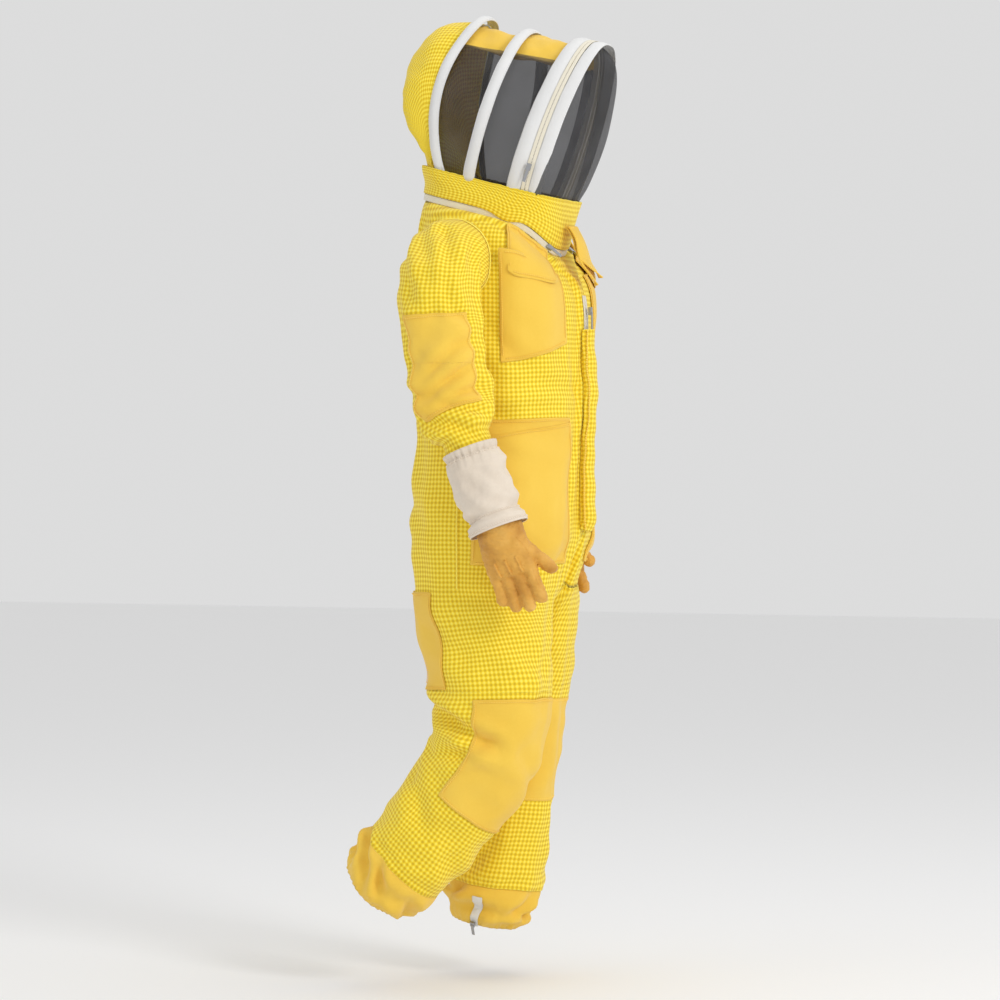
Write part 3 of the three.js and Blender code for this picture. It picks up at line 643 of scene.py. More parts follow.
CUFF_CREASES = {
    "right": [
        (-1.205, 165, -1.258, 95, 0.014, 0.010), (-1.215, 105, -1.262, 55, 0.012, 0.009),
        (-1.225, 200, -1.262, 150, 0.012, 0.010), (-1.222, 40, -1.262, -20, 0.011, 0.010),
        (-1.210, 300, -1.262, 240, 0.012, 0.011),
    ],
    "left": [
        (-1.268, 60, -1.335, 110, 0.013, 0.011), (-1.275, 20, -1.340, -40, 0.012, 0.011),
        (-1.270, 170, -1.335, 120, 0.011, 0.010), (-1.268, 345, -1.325, 305, 0.014, 0.011),
        (-1.272, 240, -1.338, 190, 0.012, 0.010),
    ],
}
TRUNK_CREASES = [
    (-0.330, 60, -0.345, 15, 0.005, 0.012), (-0.385, 95, -0.372, 35, 0.005, 0.012),
    (-0.120, 140, -0.260, 165, 0.005, 0.014), (-0.450, 100, -0.520, 60, 0.004, 0.014),
    (-0.215, 75, -0.330, 40, 0.004, 0.014), (-0.360, 88, -0.440, 30, 0.005, 0.016),
    (-0.300, 150, -0.420, 95, 0.006, 0.018), (-0.470, 160, -0.600, 105, 0.006, 0.018),
    (-0.580, 75, -0.690, 30, 0.005, 0.018), (-0.380, 178, -0.520, 140, 0.005, 0.018),
    (-0.250, 18, -0.370, 8, 0.004, 0.010), (-0.600, 120, -0.690, 165, 0.006, 0.018),
    (-0.640, 20, -0.695, 60, 0.006, 0.014), (-0.430, 12, -0.560, 22, 0.004, 0.012),
]


def press_trunk(trunk):
    last = trunk.shape[0] - 1
    for turn in (1, -1):
        creased(trunk, TRUNK_CREASES, 0, turn * TRUNK_COLUMNS / 360, (last, last - 11))


def press_leg(leg, label):
    per_degree = leg.shape[1] / 360
    creased(leg, LEG_CREASES[label] + CUFF_CREASES[label], leg.outer - 90 * per_degree, per_degree, (0, 9))


def bunched(leg, points):
    """Rolls the cloth of a leg's cuff into folds, and gathers its hem on elastic."""
    rows, around = leg.shape
    place = np.arange(rows)[:, None]
    turn = np.arange(around)[None, :] / around * 2 * math.pi
    slack = ramp_up(place, leg.cuff_row - 5, leg.cuff_row + 2) * (1 - ramp_up(place, rows - 5, rows - 1))
    wander = 1.3 * np.sin(turn + 0.6) + 0.9 * np.sin(2 * turn + 2.1) + 0.5 * np.sin(5 * turn)
    rolls = np.sin(place * 1.15 + wander) * (0.6 + 0.4 * np.sin(turn * 2 + place * 0.35))
    hem = ramp_up(place, rows - 6, rows - 1)
    gathers = np.sin(turn * 27 + 0.8 * np.sin(turn * 5)) * hem
    out = points - leg.centres[:, None]
    out /= np.linalg.norm(out, axis=2, keepdims=True) + 1e-9
    return points + out * (0.008 * rolls * slack + 0.0022 * gathers)[..., None]


def simulate(name, vertices, cut, faces, pins, stiffness):
    """Lets cloth that was cut larger than its place settle into folds, and returns its points.

    vertices are where it starts, cut is the shape it is cut to, and pins are from 0 for free to 1 for held."""
    frames = 26
    mesh = bpy.data.meshes.new(name)
    mesh.from_pydata(vertices.tolist(), [], faces)
    cloth = bpy.data.objects.new(name, mesh)
    bpy.context.scene.collection.objects.link(cloth)
    cloth.shape_key_add(name="Basis")
    rest = cloth.shape_key_add(name="cut")
    rest.data.foreach_set("co", cut.astype(np.float32).ravel())
    group = cloth.vertex_groups.new(name="pins")
    for index, weight in enumerate(pins):
        if weight > 0:
            group.add([index], float(weight), "REPLACE")
    modifier = cloth.modifiers.new("Cloth", "CLOTH")
    settings = modifier.settings
    settings.quality = 5
    settings.mass = 0.25
    settings.tension_stiffness = 18
    settings.compression_stiffness = 18
    settings.shear_stiffness = 6
    settings.bending_stiffness = stiffness
    settings.air_damping = 3
    settings.vertex_group_mass = "pins"
    settings.rest_shape_key = rest
    settings.effector_weights.gravity = 0.25
    modifier.collision_settings.use_collision = False
    modifier.collision_settings.use_self_collision = False
    scene = bpy.context.scene
    modifier.point_cache.frame_start = 1
    modifier.point_cache.frame_end = frames
    for step in range(1, frames + 1):
        scene.frame_set(step)
    depsgraph = bpy.context.evaluated_depsgraph_get()
    settled = cloth.evaluated_get(depsgraph).to_mesh()
    result = np.zeros(len(vertices) * 3)
    settled.vertices.foreach_get("co", result)
    scene.frame_set(1)
    bpy.data.objects.remove(cloth)
    moved = result.reshape(-1, 3) - vertices
    length = np.linalg.norm(moved, axis=1, keepdims=True)
    return vertices + moved * np.minimum(1, LONGEST_MOVE / (length + 1e-9))


def keep_clear(points, rest):
    """Keeps the trunk's sides from bulging into the sleeves and gloves beside them."""
    room = 0.0015
    beside = (np.abs(rest[..., 0]) > 0.165) & (rest[..., 2] > -0.80)
    limit = np.abs(rest[..., 0]) + room
    clipped = np.clip(points[..., 0], -limit, limit)
    points[..., 0] = np.where(beside, clipped, points[..., 0])
    return points


def grid_quads(count, around, index):
    """Quads of a tube of grid points, whose numbers index(row, column) gives."""
    return [(index(r, c), index(r, c + 1), index(r + 1, c + 1), index(r + 1, c))
            for r in range(count - 1) for c in range(around)]


def body_cloth():
    """The trunk and both legs, simulated together. Returns the three tubes in their settled shape."""
    trunk = trunk_tube()
    legs = {label: leg_tube(side, label, trunk) for label, side in SIDES.items()}
    for tube in (trunk, *legs.values()):
        flattened(tube.points)
    rows, columns = trunk.shape
    trunk_growth = 1.02 + 0.05 * ramp_up(-trunk.centres[:, 2], 0.20, 0.42)
    cut = {"trunk": grown(trunk, trunk_growth, 1.02)}
    start = {"trunk": seeded_folds(trunk.points, trunk.centres, 0.06, 0.006, (1, 1, 2.2))}
    for label, leg in legs.items():
        knee = nearest_row(leg.centres, np.array(JOINTS["knee_" + label]["pos_m"]))
        place = np.arange(leg.shape[0])
        bend = 0.12 if label == "right" else 0.06
        at_knee = bend * np.exp(-((place - knee) / 7) ** 2)
        along = 1.05 + at_knee + 0.30 * ramp_up(place, leg.cuff_row - 3, leg.cuff_row + 2)
        hips = (points[-1][leg.hip_columns].mean(axis=0) for points in (cut["trunk"], trunk.points))
        drop = np.subtract(*hips)[2]
        cut[label] = grown(leg, along, 1.03) + np.array([0, 0, drop])
        start[label] = seeded_folds(leg.points, leg.centres, 0.05, 0.007, (1.3, 1.3, 0.8))
        start[label] = bunched(leg, start[label])
    numbers = {"trunk": np.arange(rows * columns).reshape(rows, columns)}
    total = rows * columns
    chain = np.arange(CROTCH_POINTS) + total
    total += CROTCH_POINTS
    for label, leg in legs.items():
        count, around = leg.shape
        below = np.arange((count - 1) * around).reshape(count - 1, around) + total
        numbers[label] = np.vstack([[*numbers["trunk"][-1][leg.hip_columns], *chain], below])
        total += (count - 1) * around
    vertices, cut_points, pins = np.zeros((total, 3)), np.zeros((total, 3)), np.zeros(total)
    for name in ("right", "left", "trunk"):
        vertices[numbers[name]] = start[name]
        cut_points[numbers[name]] = cut[name]
    pins[numbers["trunk"][:2]] = 1
    pins[numbers["trunk"][2:5]] = 0.5
    zipped = numbers["trunk"][14:82][:, [0, 1, 2, -1, -2]]
    pins[zipped] = 0.9
    faces = []
    for name, grid in numbers.items():
        count, around = grid.shape
        faces += grid_quads(count, around, lambda r, c, g=grid, n=around: int(g[r, c % n]))
    for label in SIDES:
        pins[numbers[label][-1]] = 1
    settled = simulate("body", vertices, cut_points, faces, pins, 0.5)
    rest = np.zeros_like(settled)
    tubes = {"trunk": trunk, **legs}
    for name in ("right", "left", "trunk"):
        rest[numbers[name]] = tubes[name].rest
    settled = keep_clear(settled, rest)
    for name, tube in tubes.items():
        tube.points = settled[numbers[name]]
        if tube is trunk:
            press_trunk(tube)
        else:
            press_leg(tube, name)
        settled[numbers[name]] = keep_clear(tube.points, tube.rest)
    for name, tube in tubes.items():
        tube.points = settled[numbers[name]]
    return trunk, legs, settled, faces


# ---- Building pieces ----
def make_object(name, vertices, faces, material, weave=None):
    """A mesh piece. weave gives each face corner's place in the cloth, in metres."""
    mesh = bpy.data.meshes.new(name)
    mesh.from_pydata([tuple(v) for v in vertices], [], [tuple(int(i) for i in f) for f in faces])
    if weave is not None:
        layer = mesh.uv_layers.new(name="weave")
        layer.data.foreach_set("uv", np.asarray(weave, np.float32).ravel())
    mesh.materials.append(MATERIALS[material])
    mesh.polygons.foreach_set("use_smooth", [True] * len(mesh.polygons))
    piece = bpy.data.objects.new(name, mesh)
    bpy.context.scene.collection.objects.link(piece)
    mesh.update()
    return piece


def with_modifiers(piece, thickness=0.0, levels=0):
    if levels:
        finer = piece.modifiers.new("finer", "SUBSURF")
        finer.levels = levels
        finer.render_levels = levels
    if thickness:
        thick = piece.modifiers.new("thick", "SOLIDIFY")
        thick.thickness = thickness
        thick.offset = -1
    return piece


def apply_modifiers(piece):
    depsgraph = bpy.context.evaluated_depsgraph_get()
    baked = bpy.data.meshes.new_from_object(piece.evaluated_get(depsgraph))
    old = piece.data
    piece.modifiers.clear()
    piece.data = baked
    baked.name = piece.name
    bpy.data.meshes.remove(old)
    return piece


def finish_piece(piece, body, slot, *replaced):
    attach(piece, body)
    if replaced:
        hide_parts(*replaced)
    return piece


def unit(vector):
    return np.asarray(vector) / (np.linalg.norm(vector) + 1e-12)


def unit_rows(vectors):
    return vectors / (np.linalg.norm(vectors, axis=-1, keepdims=True) + 1e-12)


def cloth_sheet(points, closed=False):
    """Takes a sheet's grid of points, joining its first column on again when closed; it keeps and returns
    nothing.
    """
    if closed:
        points = np.concatenate([points, points[:, :1]], axis=1)


def cell_corners(rows, columns):
    """For each cell of a grid: its column, and each of its four corners' row and column."""
    for row in range(rows - 1):
        for column in range(columns):
            for r, c in ((row, column), (row, column + 1), (row + 1, column + 1), (row + 1, column)):
                yield column, r, c


def arc_lengths(ring):
    """How far round a closed ring each of its points is, and the whole way round."""
    steps = np.linalg.norm(np.roll(ring, -1, axis=0) - ring, axis=1)
    return np.concatenate([[0], np.cumsum(steps)])


def weave_of_trunk(trunk):
    """Each trunk cell's four corners in the cloth: across from the side seams, and down."""
    rows, columns = trunk.shape
    half, quarter = columns // 2, columns // 4
    around = np.array([arc_lengths(ring) for ring in trunk.rest])
    breast = nearest_row(trunk.centres, np.array([0, TRUNK_Y, BREAST_Z]))
    down = np.zeros((rows, columns + 1))
    down[:, :-1] = trunk.rest[..., 2]
    down[:, -1] = down[:, 0]
    for row in range(breast - 1, -1, -1):
        step = np.linalg.norm(trunk.rest[row] - trunk.rest[row + 1], axis=1)
        down[row, :-1] = down[row + 1, :-1] + step
        down[row, -1] = down[row, 0]
    corners = []
    for column, r, c in cell_corners(rows, columns):
        right_side = around[r, quarter] - around[r, c]
        left_side = around[r, c] - around[r, half + quarter]
        corners.append((right_side if column < half else left_side, down[r, c]))
    return corners


def depths(tube, top):
    """How far down the cloth each row of a limb is."""
    return top - walked_along(tube.centres)


def weave_of_limb(tube, down, outer):
    """Each limb cell's corners in the cloth: round from the outer seam both ways, and down."""
    rows, columns = tube.shape
    around = np.array([arc_lengths(ring) for ring in tube.rest])
    inner = outer + columns // 2
    corners = []
    for column, r, c in cell_corners(rows, columns):
        side = around[r, outer] - around[r, c]
        if column >= inner:
            side += around[r, -1]
        corners.append((side, down[r] if down.ndim == 1 else down[r, c % columns]))
    return corners


def split_by_plane(piece, point, normal):
    """Cuts a piece in two. The part on the normal's side is returned as a new object."""
    other = piece.copy()
    other.data = piece.data.copy()
    bpy.context.scene.collection.objects.link(other)
    for target, keep_far in ((piece, False), (other, True)):
        work = bmesh.new()
        work.from_mesh(target.data)
        geometry = work.verts[:] + work.edges[:] + work.faces[:]
        bmesh.ops.bisect_plane(work, geom=geometry, dist=1e-6, plane_co=point, plane_no=normal,
                               clear_inner=keep_far, clear_outer=not keep_far)
        work.to_mesh(target.data)
        work.free()
    return other


def rename(piece, name):
    piece.name = name
    piece.data.name = name
    return piece


def follow(piece, part):
    """Bakes the piece's place into its mesh, the same way for the upper and the lower part."""
    if part == "upper":
        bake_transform(piece)
        return
    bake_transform(piece)


def follow_leg(piece, part):
    follow(piece, part)


def follow_sleeve(piece, part):
    follow(piece, part)


ARMPIT_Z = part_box("sleeve_head_right")[0].z
trunk, legs, body_points, body_faces = body_cloth()


def coverall_pieces():
    weave = weave_of_trunk(trunk)
    for leg in legs.values():
        weave += weave_of_limb(leg, depths(leg, HIP_Z), leg.outer)
    body = make_object("coverall", body_points, body_faces, "mesh_fabric", weave)
    first = (trunk.shape[0] - 1) * trunk.shape[1]
    cuff_faces = {}
    for label, leg in legs.items():
        rows, around = leg.shape
        cuff_faces[label] = range(first + leg.cuff_row * around, first + (rows - 1) * around)
        first += (rows - 1) * around
    for label, faces in cuff_faces.items():
        cuff = body.copy()
        cuff.data = body.data.copy()
        bpy.context.scene.collection.objects.link(cuff)
        rename(cuff, "leg_cuff_cloth_" + label)
        drop_faces(cuff, set(range(len(body_faces))) - set(faces))
        cuff.data.materials.clear()
        cuff.data.materials.append(MATERIALS["plain_cotton"])
        with_modifiers(cuff, COTTON, 1)
        finish_piece(cuff, "shin_" + label, "plain_cotton", "leg_cuff_" + label)
    drop_faces(body, set(cuff_faces["right"]) | set(cuff_faces["left"]))
    with_modifiers(body, 0, 1)
    apply_modifiers(body)
    legs_only = split_by_plane(body, (0, 0, LEG_CUT_Z), (0, 0, -1))
    halves = {"right": split_by_plane(body, (0, 0, 0), (-1, 0, 0)), "left": body}
    lower = {"right": split_by_plane(legs_only, (0, 0, 0), (-1, 0, 0)), "left": legs_only}
    for label in SIDES:
        upper_piece = rename(halves[label], "coverall_" + label)
        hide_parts(f"front_body_{label}", "back_body", "seat", f"thigh_{label}")
        follow_leg(upper_piece, "upper")
        lower_piece = rename(lower[label], "leg_" + label)
        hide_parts(f"knee_section_{label}", f"shin_{label}")
        follow_leg(lower_piece, "lower")
        for piece, length in ((upper_piece, 0.93), (lower_piece, 0.40)):
            with_modifiers(piece, FABRIC)


def drop_faces(piece, numbers):
    work = bmesh.new()
    work.from_mesh(piece.data)
    work.faces.ensure_lookup_table()
    bmesh.ops.delete(work, geom=[work.faces[k] for k in numbers], context="FACES")
    work.to_mesh(piece.data)
    work.free()


coverall_pieces()


# ---- Sleeves ----
def tree_of(vertices, faces):
    return BVHTree.FromPolygons([Vector(v) for v in vertices], [[int(i) for i in f] for f in faces])


def sleeve_tube(side, label, trunk_tree):
    head, upper, elbow, forearm = [f"{part}_{label}" for part in
                                   ("sleeve_head", "upper_sleeve", "elbow_section", "forearm_sleeve")]
    tree = surface_of(head, upper, elbow, forearm)
    low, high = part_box(head)
    joint = Vector(JOINTS["shoulder_" + label]["pos_m"])
    radius = high.z - joint.z
    armpit_x = min(abs(low.x), abs(high.x))
    turns = np.arange(SLEEVE_COLUMNS) / SLEEVE_COLUMNS * 2 * math.pi
    path = limb_path([upper, elbow, forearm], "elbow_" + label, 0.0068)
    ahead, outward = limb_frames(path, side, 6)
    seam = []
    for turn in turns:
        start = Vector((side * 0.4, joint.y - radius * math.cos(turn), joint.z + radius * math.sin(turn)))
        hit = trunk_tree.ray_cast(start, Vector((-side, 0, 0)), 0.4)[0]
        seam.append(hit or Vector((side * armpit_x, start.y, start.z)))
    cores, rings = [], []
    head_rows = 15
    for row in range(1, head_rows):
        share = row / head_rows
        lean = share * math.pi / 2
        out = np.array([side * math.sin(lean), 0, math.cos(lean)])
        reach = radius + (abs(path[0][0]) - armpit_x - radius) * share
        core = np.array([side * armpit_x, joint.y + (path[0][1] - joint.y) * share, low.z]) + out * reach
        cores.append(core)
        rings.append(np.array([0, -1, 0]) * np.cos(turns)[:, None] + out * np.sin(turns)[:, None])
    for row in range(len(path)):
        cores.append(path[row])
        rings.append(ahead[row] * np.cos(turns)[:, None] + outward * np.sin(turns)[:, None])
    cores, rings = np.array(cores), np.array(rings)
    radii = np.array([[outer_radius(tree, c, d, 0.15) for d in ring] for c, ring in zip(cores, rings)])
    radii = evened(fill_gaps(radii), 4)
    points = np.vstack([[np.array(seam)], cores[:, None] + rings * radii[..., None]])
    tube = Tube(points, np.vstack([[joint], cores]))
    tube.head_rows = head_rows
    return tube


def weave_of_sleeve(tube):
    down = np.zeros(tube.shape)
    level = tube.head_rows
    down[level:] = depths(Tube(tube.points[level:], tube.centres[level:]), 0)[:, None]
    for row in range(level - 1, -1, -1):
        down[row] = down[row + 1] + np.linalg.norm(tube.rest[row] - tube.rest[row + 1], axis=1)
    return weave_of_limb(tube, down, SLEEVE_COLUMNS // 4)


def sleeve_cloth(side, label, trunk_tree):
    tube = sleeve_tube(side, label, trunk_tree)
    rows, columns = tube.shape
    place = np.arange(rows)
    gauntlet_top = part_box("gauntlet_" + label)[1].z
    mouth = row_at(tube, gauntlet_top)
    elbow = row_at(tube, JOINTS["elbow_" + label]["pos_m"][2])
    along = 1.07 + 0.20 * np.exp(-((place - elbow) / 7) ** 2) + 0.40 * np.exp(-((place - mouth + 4) / 4) ** 2)
    cut = grown(tube, along, 1.05).reshape(-1, 3)
    start = seeded_folds(tube.points, tube.centres, 0.042, 0.008, (1.2, 1.2, 0.8)).reshape(-1, 3)
    pins = np.zeros((rows, columns))
    pins[0] = 1
    pins[1:3] = 0.6
    pins[mouth + 3:] = 0.8
    faces = grid_quads(rows, columns, lambda r, c: r * columns + c % columns)
    start = simulate("sleeve", start, cut, faces, pins.ravel(), 0.4)
    tube.points = start.reshape(rows, columns, 3)
    creased(tube, SLEEVE_CREASES, 0, SLEEVE_COLUMNS / 360)
    points = tube.points
    away = points - tube.centres[:, None]
    reach = np.linalg.norm(away, axis=2, keepdims=True)
    room = 0.120 - (0.120 - 0.0435) * ramp_up(place, mouth - 5, mouth - 1)[:, None, None]
    points = tube.centres[:, None] + away * np.minimum(1, room / reach)
    points[0] = tube.rest[0]
    beside = (np.abs(tube.rest[..., 0]) < 0.222) & (place[:, None] > tube.head_rows)
    inner = np.abs(tube.rest[..., 0]) - 0.001
    points[..., 0] = np.where(beside, side * np.maximum(np.abs(points[..., 0]), inner), points[..., 0])
    tube.points = points
    tube.faces = faces
    return tube


def sleeve_pieces(label, tube):
    weave = weave_of_sleeve(tube)
    upper = make_object("sleeve_" + label, tube.points.reshape(-1, 3), tube.faces, "mesh_fabric", weave)
    with_modifiers(upper, 0, 1)
    apply_modifiers(upper)
    lower = split_by_plane(upper, (0, 0, SLEEVE_CUT_Z), (0, 0, -1))
    rename(upper, "sleeve_upper_" + label)
    rename(lower, "sleeve_lower_" + label)
    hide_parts("sleeve_head_" + label, "upper_sleeve_" + label)
    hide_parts("elbow_section_" + label, "forearm_sleeve_" + label)
    follow_sleeve(upper, "upper")
    follow_sleeve(lower, "lower")
    for piece, length in ((upper, 0.30), (lower, 0.27)):
        with_modifiers(piece, 0.002)


trunk_tree = tree_of(body_points, body_faces)
sleeves = {label: sleeve_cloth(side, label, trunk_tree) for label, side in SIDES.items()}
for label, tube in sleeves.items():
    sleeve_pieces(label, tube)


# ---- Patches: cotton laid on the cloth and sewn round its edge ----
def grid_faces(rows, columns, base=0):
    return [(base + r * columns + c, base + r * columns + c + 1,
             base + (r + 1) * columns + c + 1, base + (r + 1) * columns + c)
            for r in range(rows - 1) for c in range(columns - 1)]


def grid_weave(points):
    """Each cell's corners in the cloth of a grid of points, measured from its middle column and first row."""
    middle = points.shape[1] // 2
    across = np.concatenate([np.zeros((len(points), 1)),
                             np.cumsum(np.linalg.norm(np.diff(points, axis=1), axis=2), axis=1)], axis=1)
    across -= across[:, middle:middle + 1]
    down = -walked_along(points[:, middle])
    rows, columns = points.shape[:2]
    return [(across[r, c], down[r]) for _, r, c in cell_corners(rows, columns - 1)]


def sheet_object(name, points, material, thickness, levels=1):
    """A sheet of cloth through a grid of points."""
    rows, columns = points.shape[:2]
    piece = make_object(name, points.reshape(-1, 3), grid_faces(rows, columns), material, grid_weave(points))
    return with_modifiers(piece, thickness, levels)


def stitch_boxes(line, outs):
    """Short raised stitches along a line of points, on the cloth whose outward directions are outs."""
    length, gap, width, height = 0.0028, 0.0016, 0.0008, 0.0006
    walked = walked_along(line)
    vertices, faces = [], []
    for start in np.arange(gap, walked[-1] - length, length + gap):
        ends = [point_along(line, walked, start + share * length) for share in (0, 0.5, 1)]
        out = outs[int(np.searchsorted(walked, start)) - 1]
        ahead = ends[2] - ends[0]
        side = np.cross(out, ahead)
        side *= width / 2 / (np.linalg.norm(side) + 1e-9)
        base = len(vertices)
        for end, lift in zip(ends, (0, height, 0)):
            vertices += [end - side, end + out * (lift + 0.0002), end + side]
        for k in (0, 1):
            row = base + 3 * k
            faces += [(row, row + 1, row + 4, row + 3), (row + 1, row + 2, row + 5, row + 4)]
    return vertices, faces


def add_to(piece, vertices, faces, material):
    """Joins more faces of another material into a piece's mesh."""
    mesh = piece.data
    work = bmesh.new()
    work.from_mesh(mesh)
    slot = len(mesh.materials)
    mesh.materials.append(MATERIALS[material])
    made = [work.verts.new(v) for v in vertices]
    for face in faces:
        work.faces.new([made[i] for i in face]).material_index = slot
    work.to_mesh(mesh)
    work.free()


def mesh_grid(across, down, u=(0, 1), v=(0, 1)):
    return np.meshgrid(np.linspace(*v, down + 1), np.linspace(*u, across + 1), indexing="ij")


def patch_grid(tube, rows, columns, lift, spacing=0.0045, shape=None, bulge=0.0, relief=None):
    """Points on a tube between two rows and two columns, lifted off it. shape moves (u, v) about."""
    corner = tube.place(np.array([rows[0], rows[1], rows[0]]), np.array([columns[0], columns[0], columns[1]]))
    down = max(4, round(np.linalg.norm(corner[1] - corner[0]) / spacing))
    middle = np.linspace(columns[0], columns[1], 12)
    wide = np.linalg.norm(np.diff(tube.place(np.full(12, np.mean(rows)), middle), axis=0), axis=1).sum()
    v, u = mesh_grid(max(4, round(wide / spacing)), down)
    pu, pv = shape(u, v) if shape else (u, v)
    place = (rows[0] + (rows[1] - rows[0]) * pv, columns[0] + (columns[1] - columns[0]) * pu)
    outs = tube.normals(*place)
    for _ in range(2):
        outs[1:-1] = (outs[:-2] + outs[2:]) / 4 + outs[1:-1] / 2
        outs[:, 1:-1] = (outs[:, :-2] + outs[:, 2:]) / 4 + outs[:, 1:-1] / 2
    swell = bulge * np.sin(math.pi * u) * np.sin(math.pi * v) + (relief(u, v) if relief else 0)
    return tube.place(*place) + outs * (lift + swell)[..., None], outs


def sewn(piece, points, outs):
    """Stitches round the edge of a grid of points."""
    for border in ((1, slice(1, -2)), (slice(1, -2), -2), (-2, slice(1, -2)), (slice(1, -2), 1)):
        normals = outs[border]
        add_to(piece, *stitch_boxes(points[border] + normals * 0.0004, normals), "thread")


def patch(name, tube, rows, columns, lift=0.0024, thickness=COTTON, **how):
    points, outs = patch_grid(tube, rows, columns, lift, **how)
    piece = sheet_object(name, points, "plain_cotton", 0, 1)
    apply_modifiers(piece)
    sewn(piece, points, outs)
    if thickness:
        cloth_sheet(points)
        with_modifiers(piece, thickness)
    return piece


def trunk_patches(label):
    side = SIDES[label]
    chest = trunk.extent("chest_pocket_" + label)
    flap = trunk.extent("chest_pocket_flap_" + label)
    hip = trunk.extent("hip_pocket_" + label)
    spread = (chest[3] - chest[2]) * 0.06
    chest = (*chest[:2], chest[2] - spread, chest[3] + spread)
    flap = (flap[0] + (flap[1] - flap[0]) * 0.10, flap[1], flap[2] - spread, flap[3] + spread)

    def slanted(u, v):
        inner = 1 - u if side < 0 else u
        return u, v * (1 - 0.15 * inner) + 0.02 * np.sin(math.pi * u)

    def gape(u, v):
        outer = u if side < 0 else 1 - u
        return 0.012 * np.exp(-((outer - 0.9) / 0.16) ** 2 - ((v - 0.02) / 0.10) ** 2)

    def rounded(u, v):
        return u, v * (1 - 0.12 * np.abs(2 * u - 1) ** 6)

    def curl(u, v):
        return 0.0016 * v ** 3 * (1 + np.sin(u * 7))

    def low_cut(u, v):
        return u, v + (1 - v) * (0.03 + 0.09 * u if side < 0 else 0.12 - 0.09 * u)

    pocket = patch("chest_pocket_cloth_" + label, trunk, chest[:2], chest[2:], bulge=0.004, lift=0.003,
                   shape=slanted, relief=gape)
    finish_piece(pocket, "coverall", "plain_cotton", "chest_pocket_" + label)
    lid = patch("chest_pocket_flap_cloth_" + label, trunk, flap[:2], flap[2:], lift=0.0062,
                shape=rounded, relief=curl)
    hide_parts("chest_pocket_flap_" + label)
    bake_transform(lid)
    panel = patch("hip_pocket_cloth_" + label, trunk, hip[:2], hip[2:])
    finish_piece(panel, "coverall", "plain_cotton", "hip_pocket_" + label)
    bag = patch("hip_pocket_front_" + label, trunk, hip[:2], hip[2:], lift=0.0038, shape=low_cut)
    finish_piece(bag, "coverall", "plain_cotton")


def leg_patches(label):
    leg = legs[label]

    def narrowed(u, v):
        return 0.5 + (u - 0.5) * (1 - 0.45 * v), v

    rear = leg.extent("rear_thigh_patch_" + label)
    back = patch("rear_thigh_patch_cloth_" + label, leg, rear[:2], rear[2:], shape=narrowed)
    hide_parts("rear_thigh_patch_" + label)
    follow_leg(back, "upper")
    knee = leg.extent("knee_patch_" + label)
    front = patch("knee_patch_cloth_" + label, leg, knee[:2], knee[2:], lift=0.0028)
    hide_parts("knee_patch_" + label)
    follow_leg(front, "lower")


def elbow_patches(label):
    tube = sleeves[label]
    reach = tube.extent("elbow_patch_" + label)
    wide = reach[3] - reach[2]
    reach = (*reach[:2], reach[2] + wide * 0.10, reach[2] + wide * 0.77)
    upper = patch("elbow_patch_upper_" + label, tube, reach[:2], reach[2:], thickness=0)
    lower = split_by_plane(upper, (0, 0, SLEEVE_CUT_Z), (0, 0, -1))
    rename(lower, "elbow_patch_lower_" + label)
    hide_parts("elbow_patch_" + label)
    follow_sleeve(upper, "upper")
    follow_sleeve(lower, "lower")
    for piece, length in ((upper, 0.11), (lower, 0.09)):
        with_modifiers(piece, COTTON)


for label in SIDES:
    trunk_patches(label)
    leg_patches(label)
    elbow_patches(label)


# ---- Hood, in its own frame, which leans forward with the neck ring ----
NECK_TILT = math.radians(14.3)
NECK_CENTRE = (0.010, 0.011)
HOOD_SQUARE = 2.5
HOOD_FOOT = 0.020
REAR = {"foot": 0.085, "lean": 0.021, "bulge": 0.032, "top": 0.302}
MIDDLE = {"foot": 0.028, "lean": -0.012, "bulge": 0.0, "top": 0.307}
FRONT = {"foot": -0.064, "lean": -0.029, "bulge": 0.0, "top": 0.314}
HOOPS = ("rear_hoop", "middle_hoop", "front_hoop")
ZIP_SHIFT = -0.0145          # the face zip, ahead of the front arch's line
VEIL_EDGE = -0.038


def hood_frame(x, y, z):
    """Points of the hood's leaning frame in the row frame."""
    x, y, z = np.broadcast_arrays(x, y, z)
    tilt_cos, tilt_sin = math.cos(NECK_TILT), math.sin(NECK_TILT)
    return np.stack([x, NECK_CENTRE[0] + tilt_cos * y - tilt_sin * z,
                     NECK_CENTRE[1] + tilt_sin * y + tilt_cos * z], axis=-1)


def squircle(value, square):
    return np.sign(value) * np.abs(value) ** (2 / square)


def line_at(line, rise):
    return line["foot"] + line["lean"] * rise + line["bulge"] * 4 * rise * (1 - rise)


def tucked_in(rise):
    """How much the hood's feet draw in, to go inside the skirt."""
    return 1 - 0.065 * np.exp(-rise / 0.045)


def arch_point(line, t, shift=0.0):
    """A point of the hood's tunnel, t going from the right foot over the top to the left foot."""
    rise = squircle(np.sin(math.pi * t), HOOD_SQUARE)
    y = line_at(line, rise) + shift
    share = (line_at(REAR, rise) - y) / (line_at(REAR, rise) - line_at(FRONT, rise))
    foot = 0.107 + 0.010 * share + 0.046 * share * (1 - share)
    width = foot * (1 + 0.1 * np.sin(math.pi * rise))
    x = -width * squircle(np.cos(math.pi * t), HOOD_SQUARE) * tucked_in(rise)
    top = REAR["top"] + (FRONT["top"] - REAR["top"]) * share
    return hood_frame(x, y, HOOD_FOOT + (top - HOOD_FOOT) * rise)


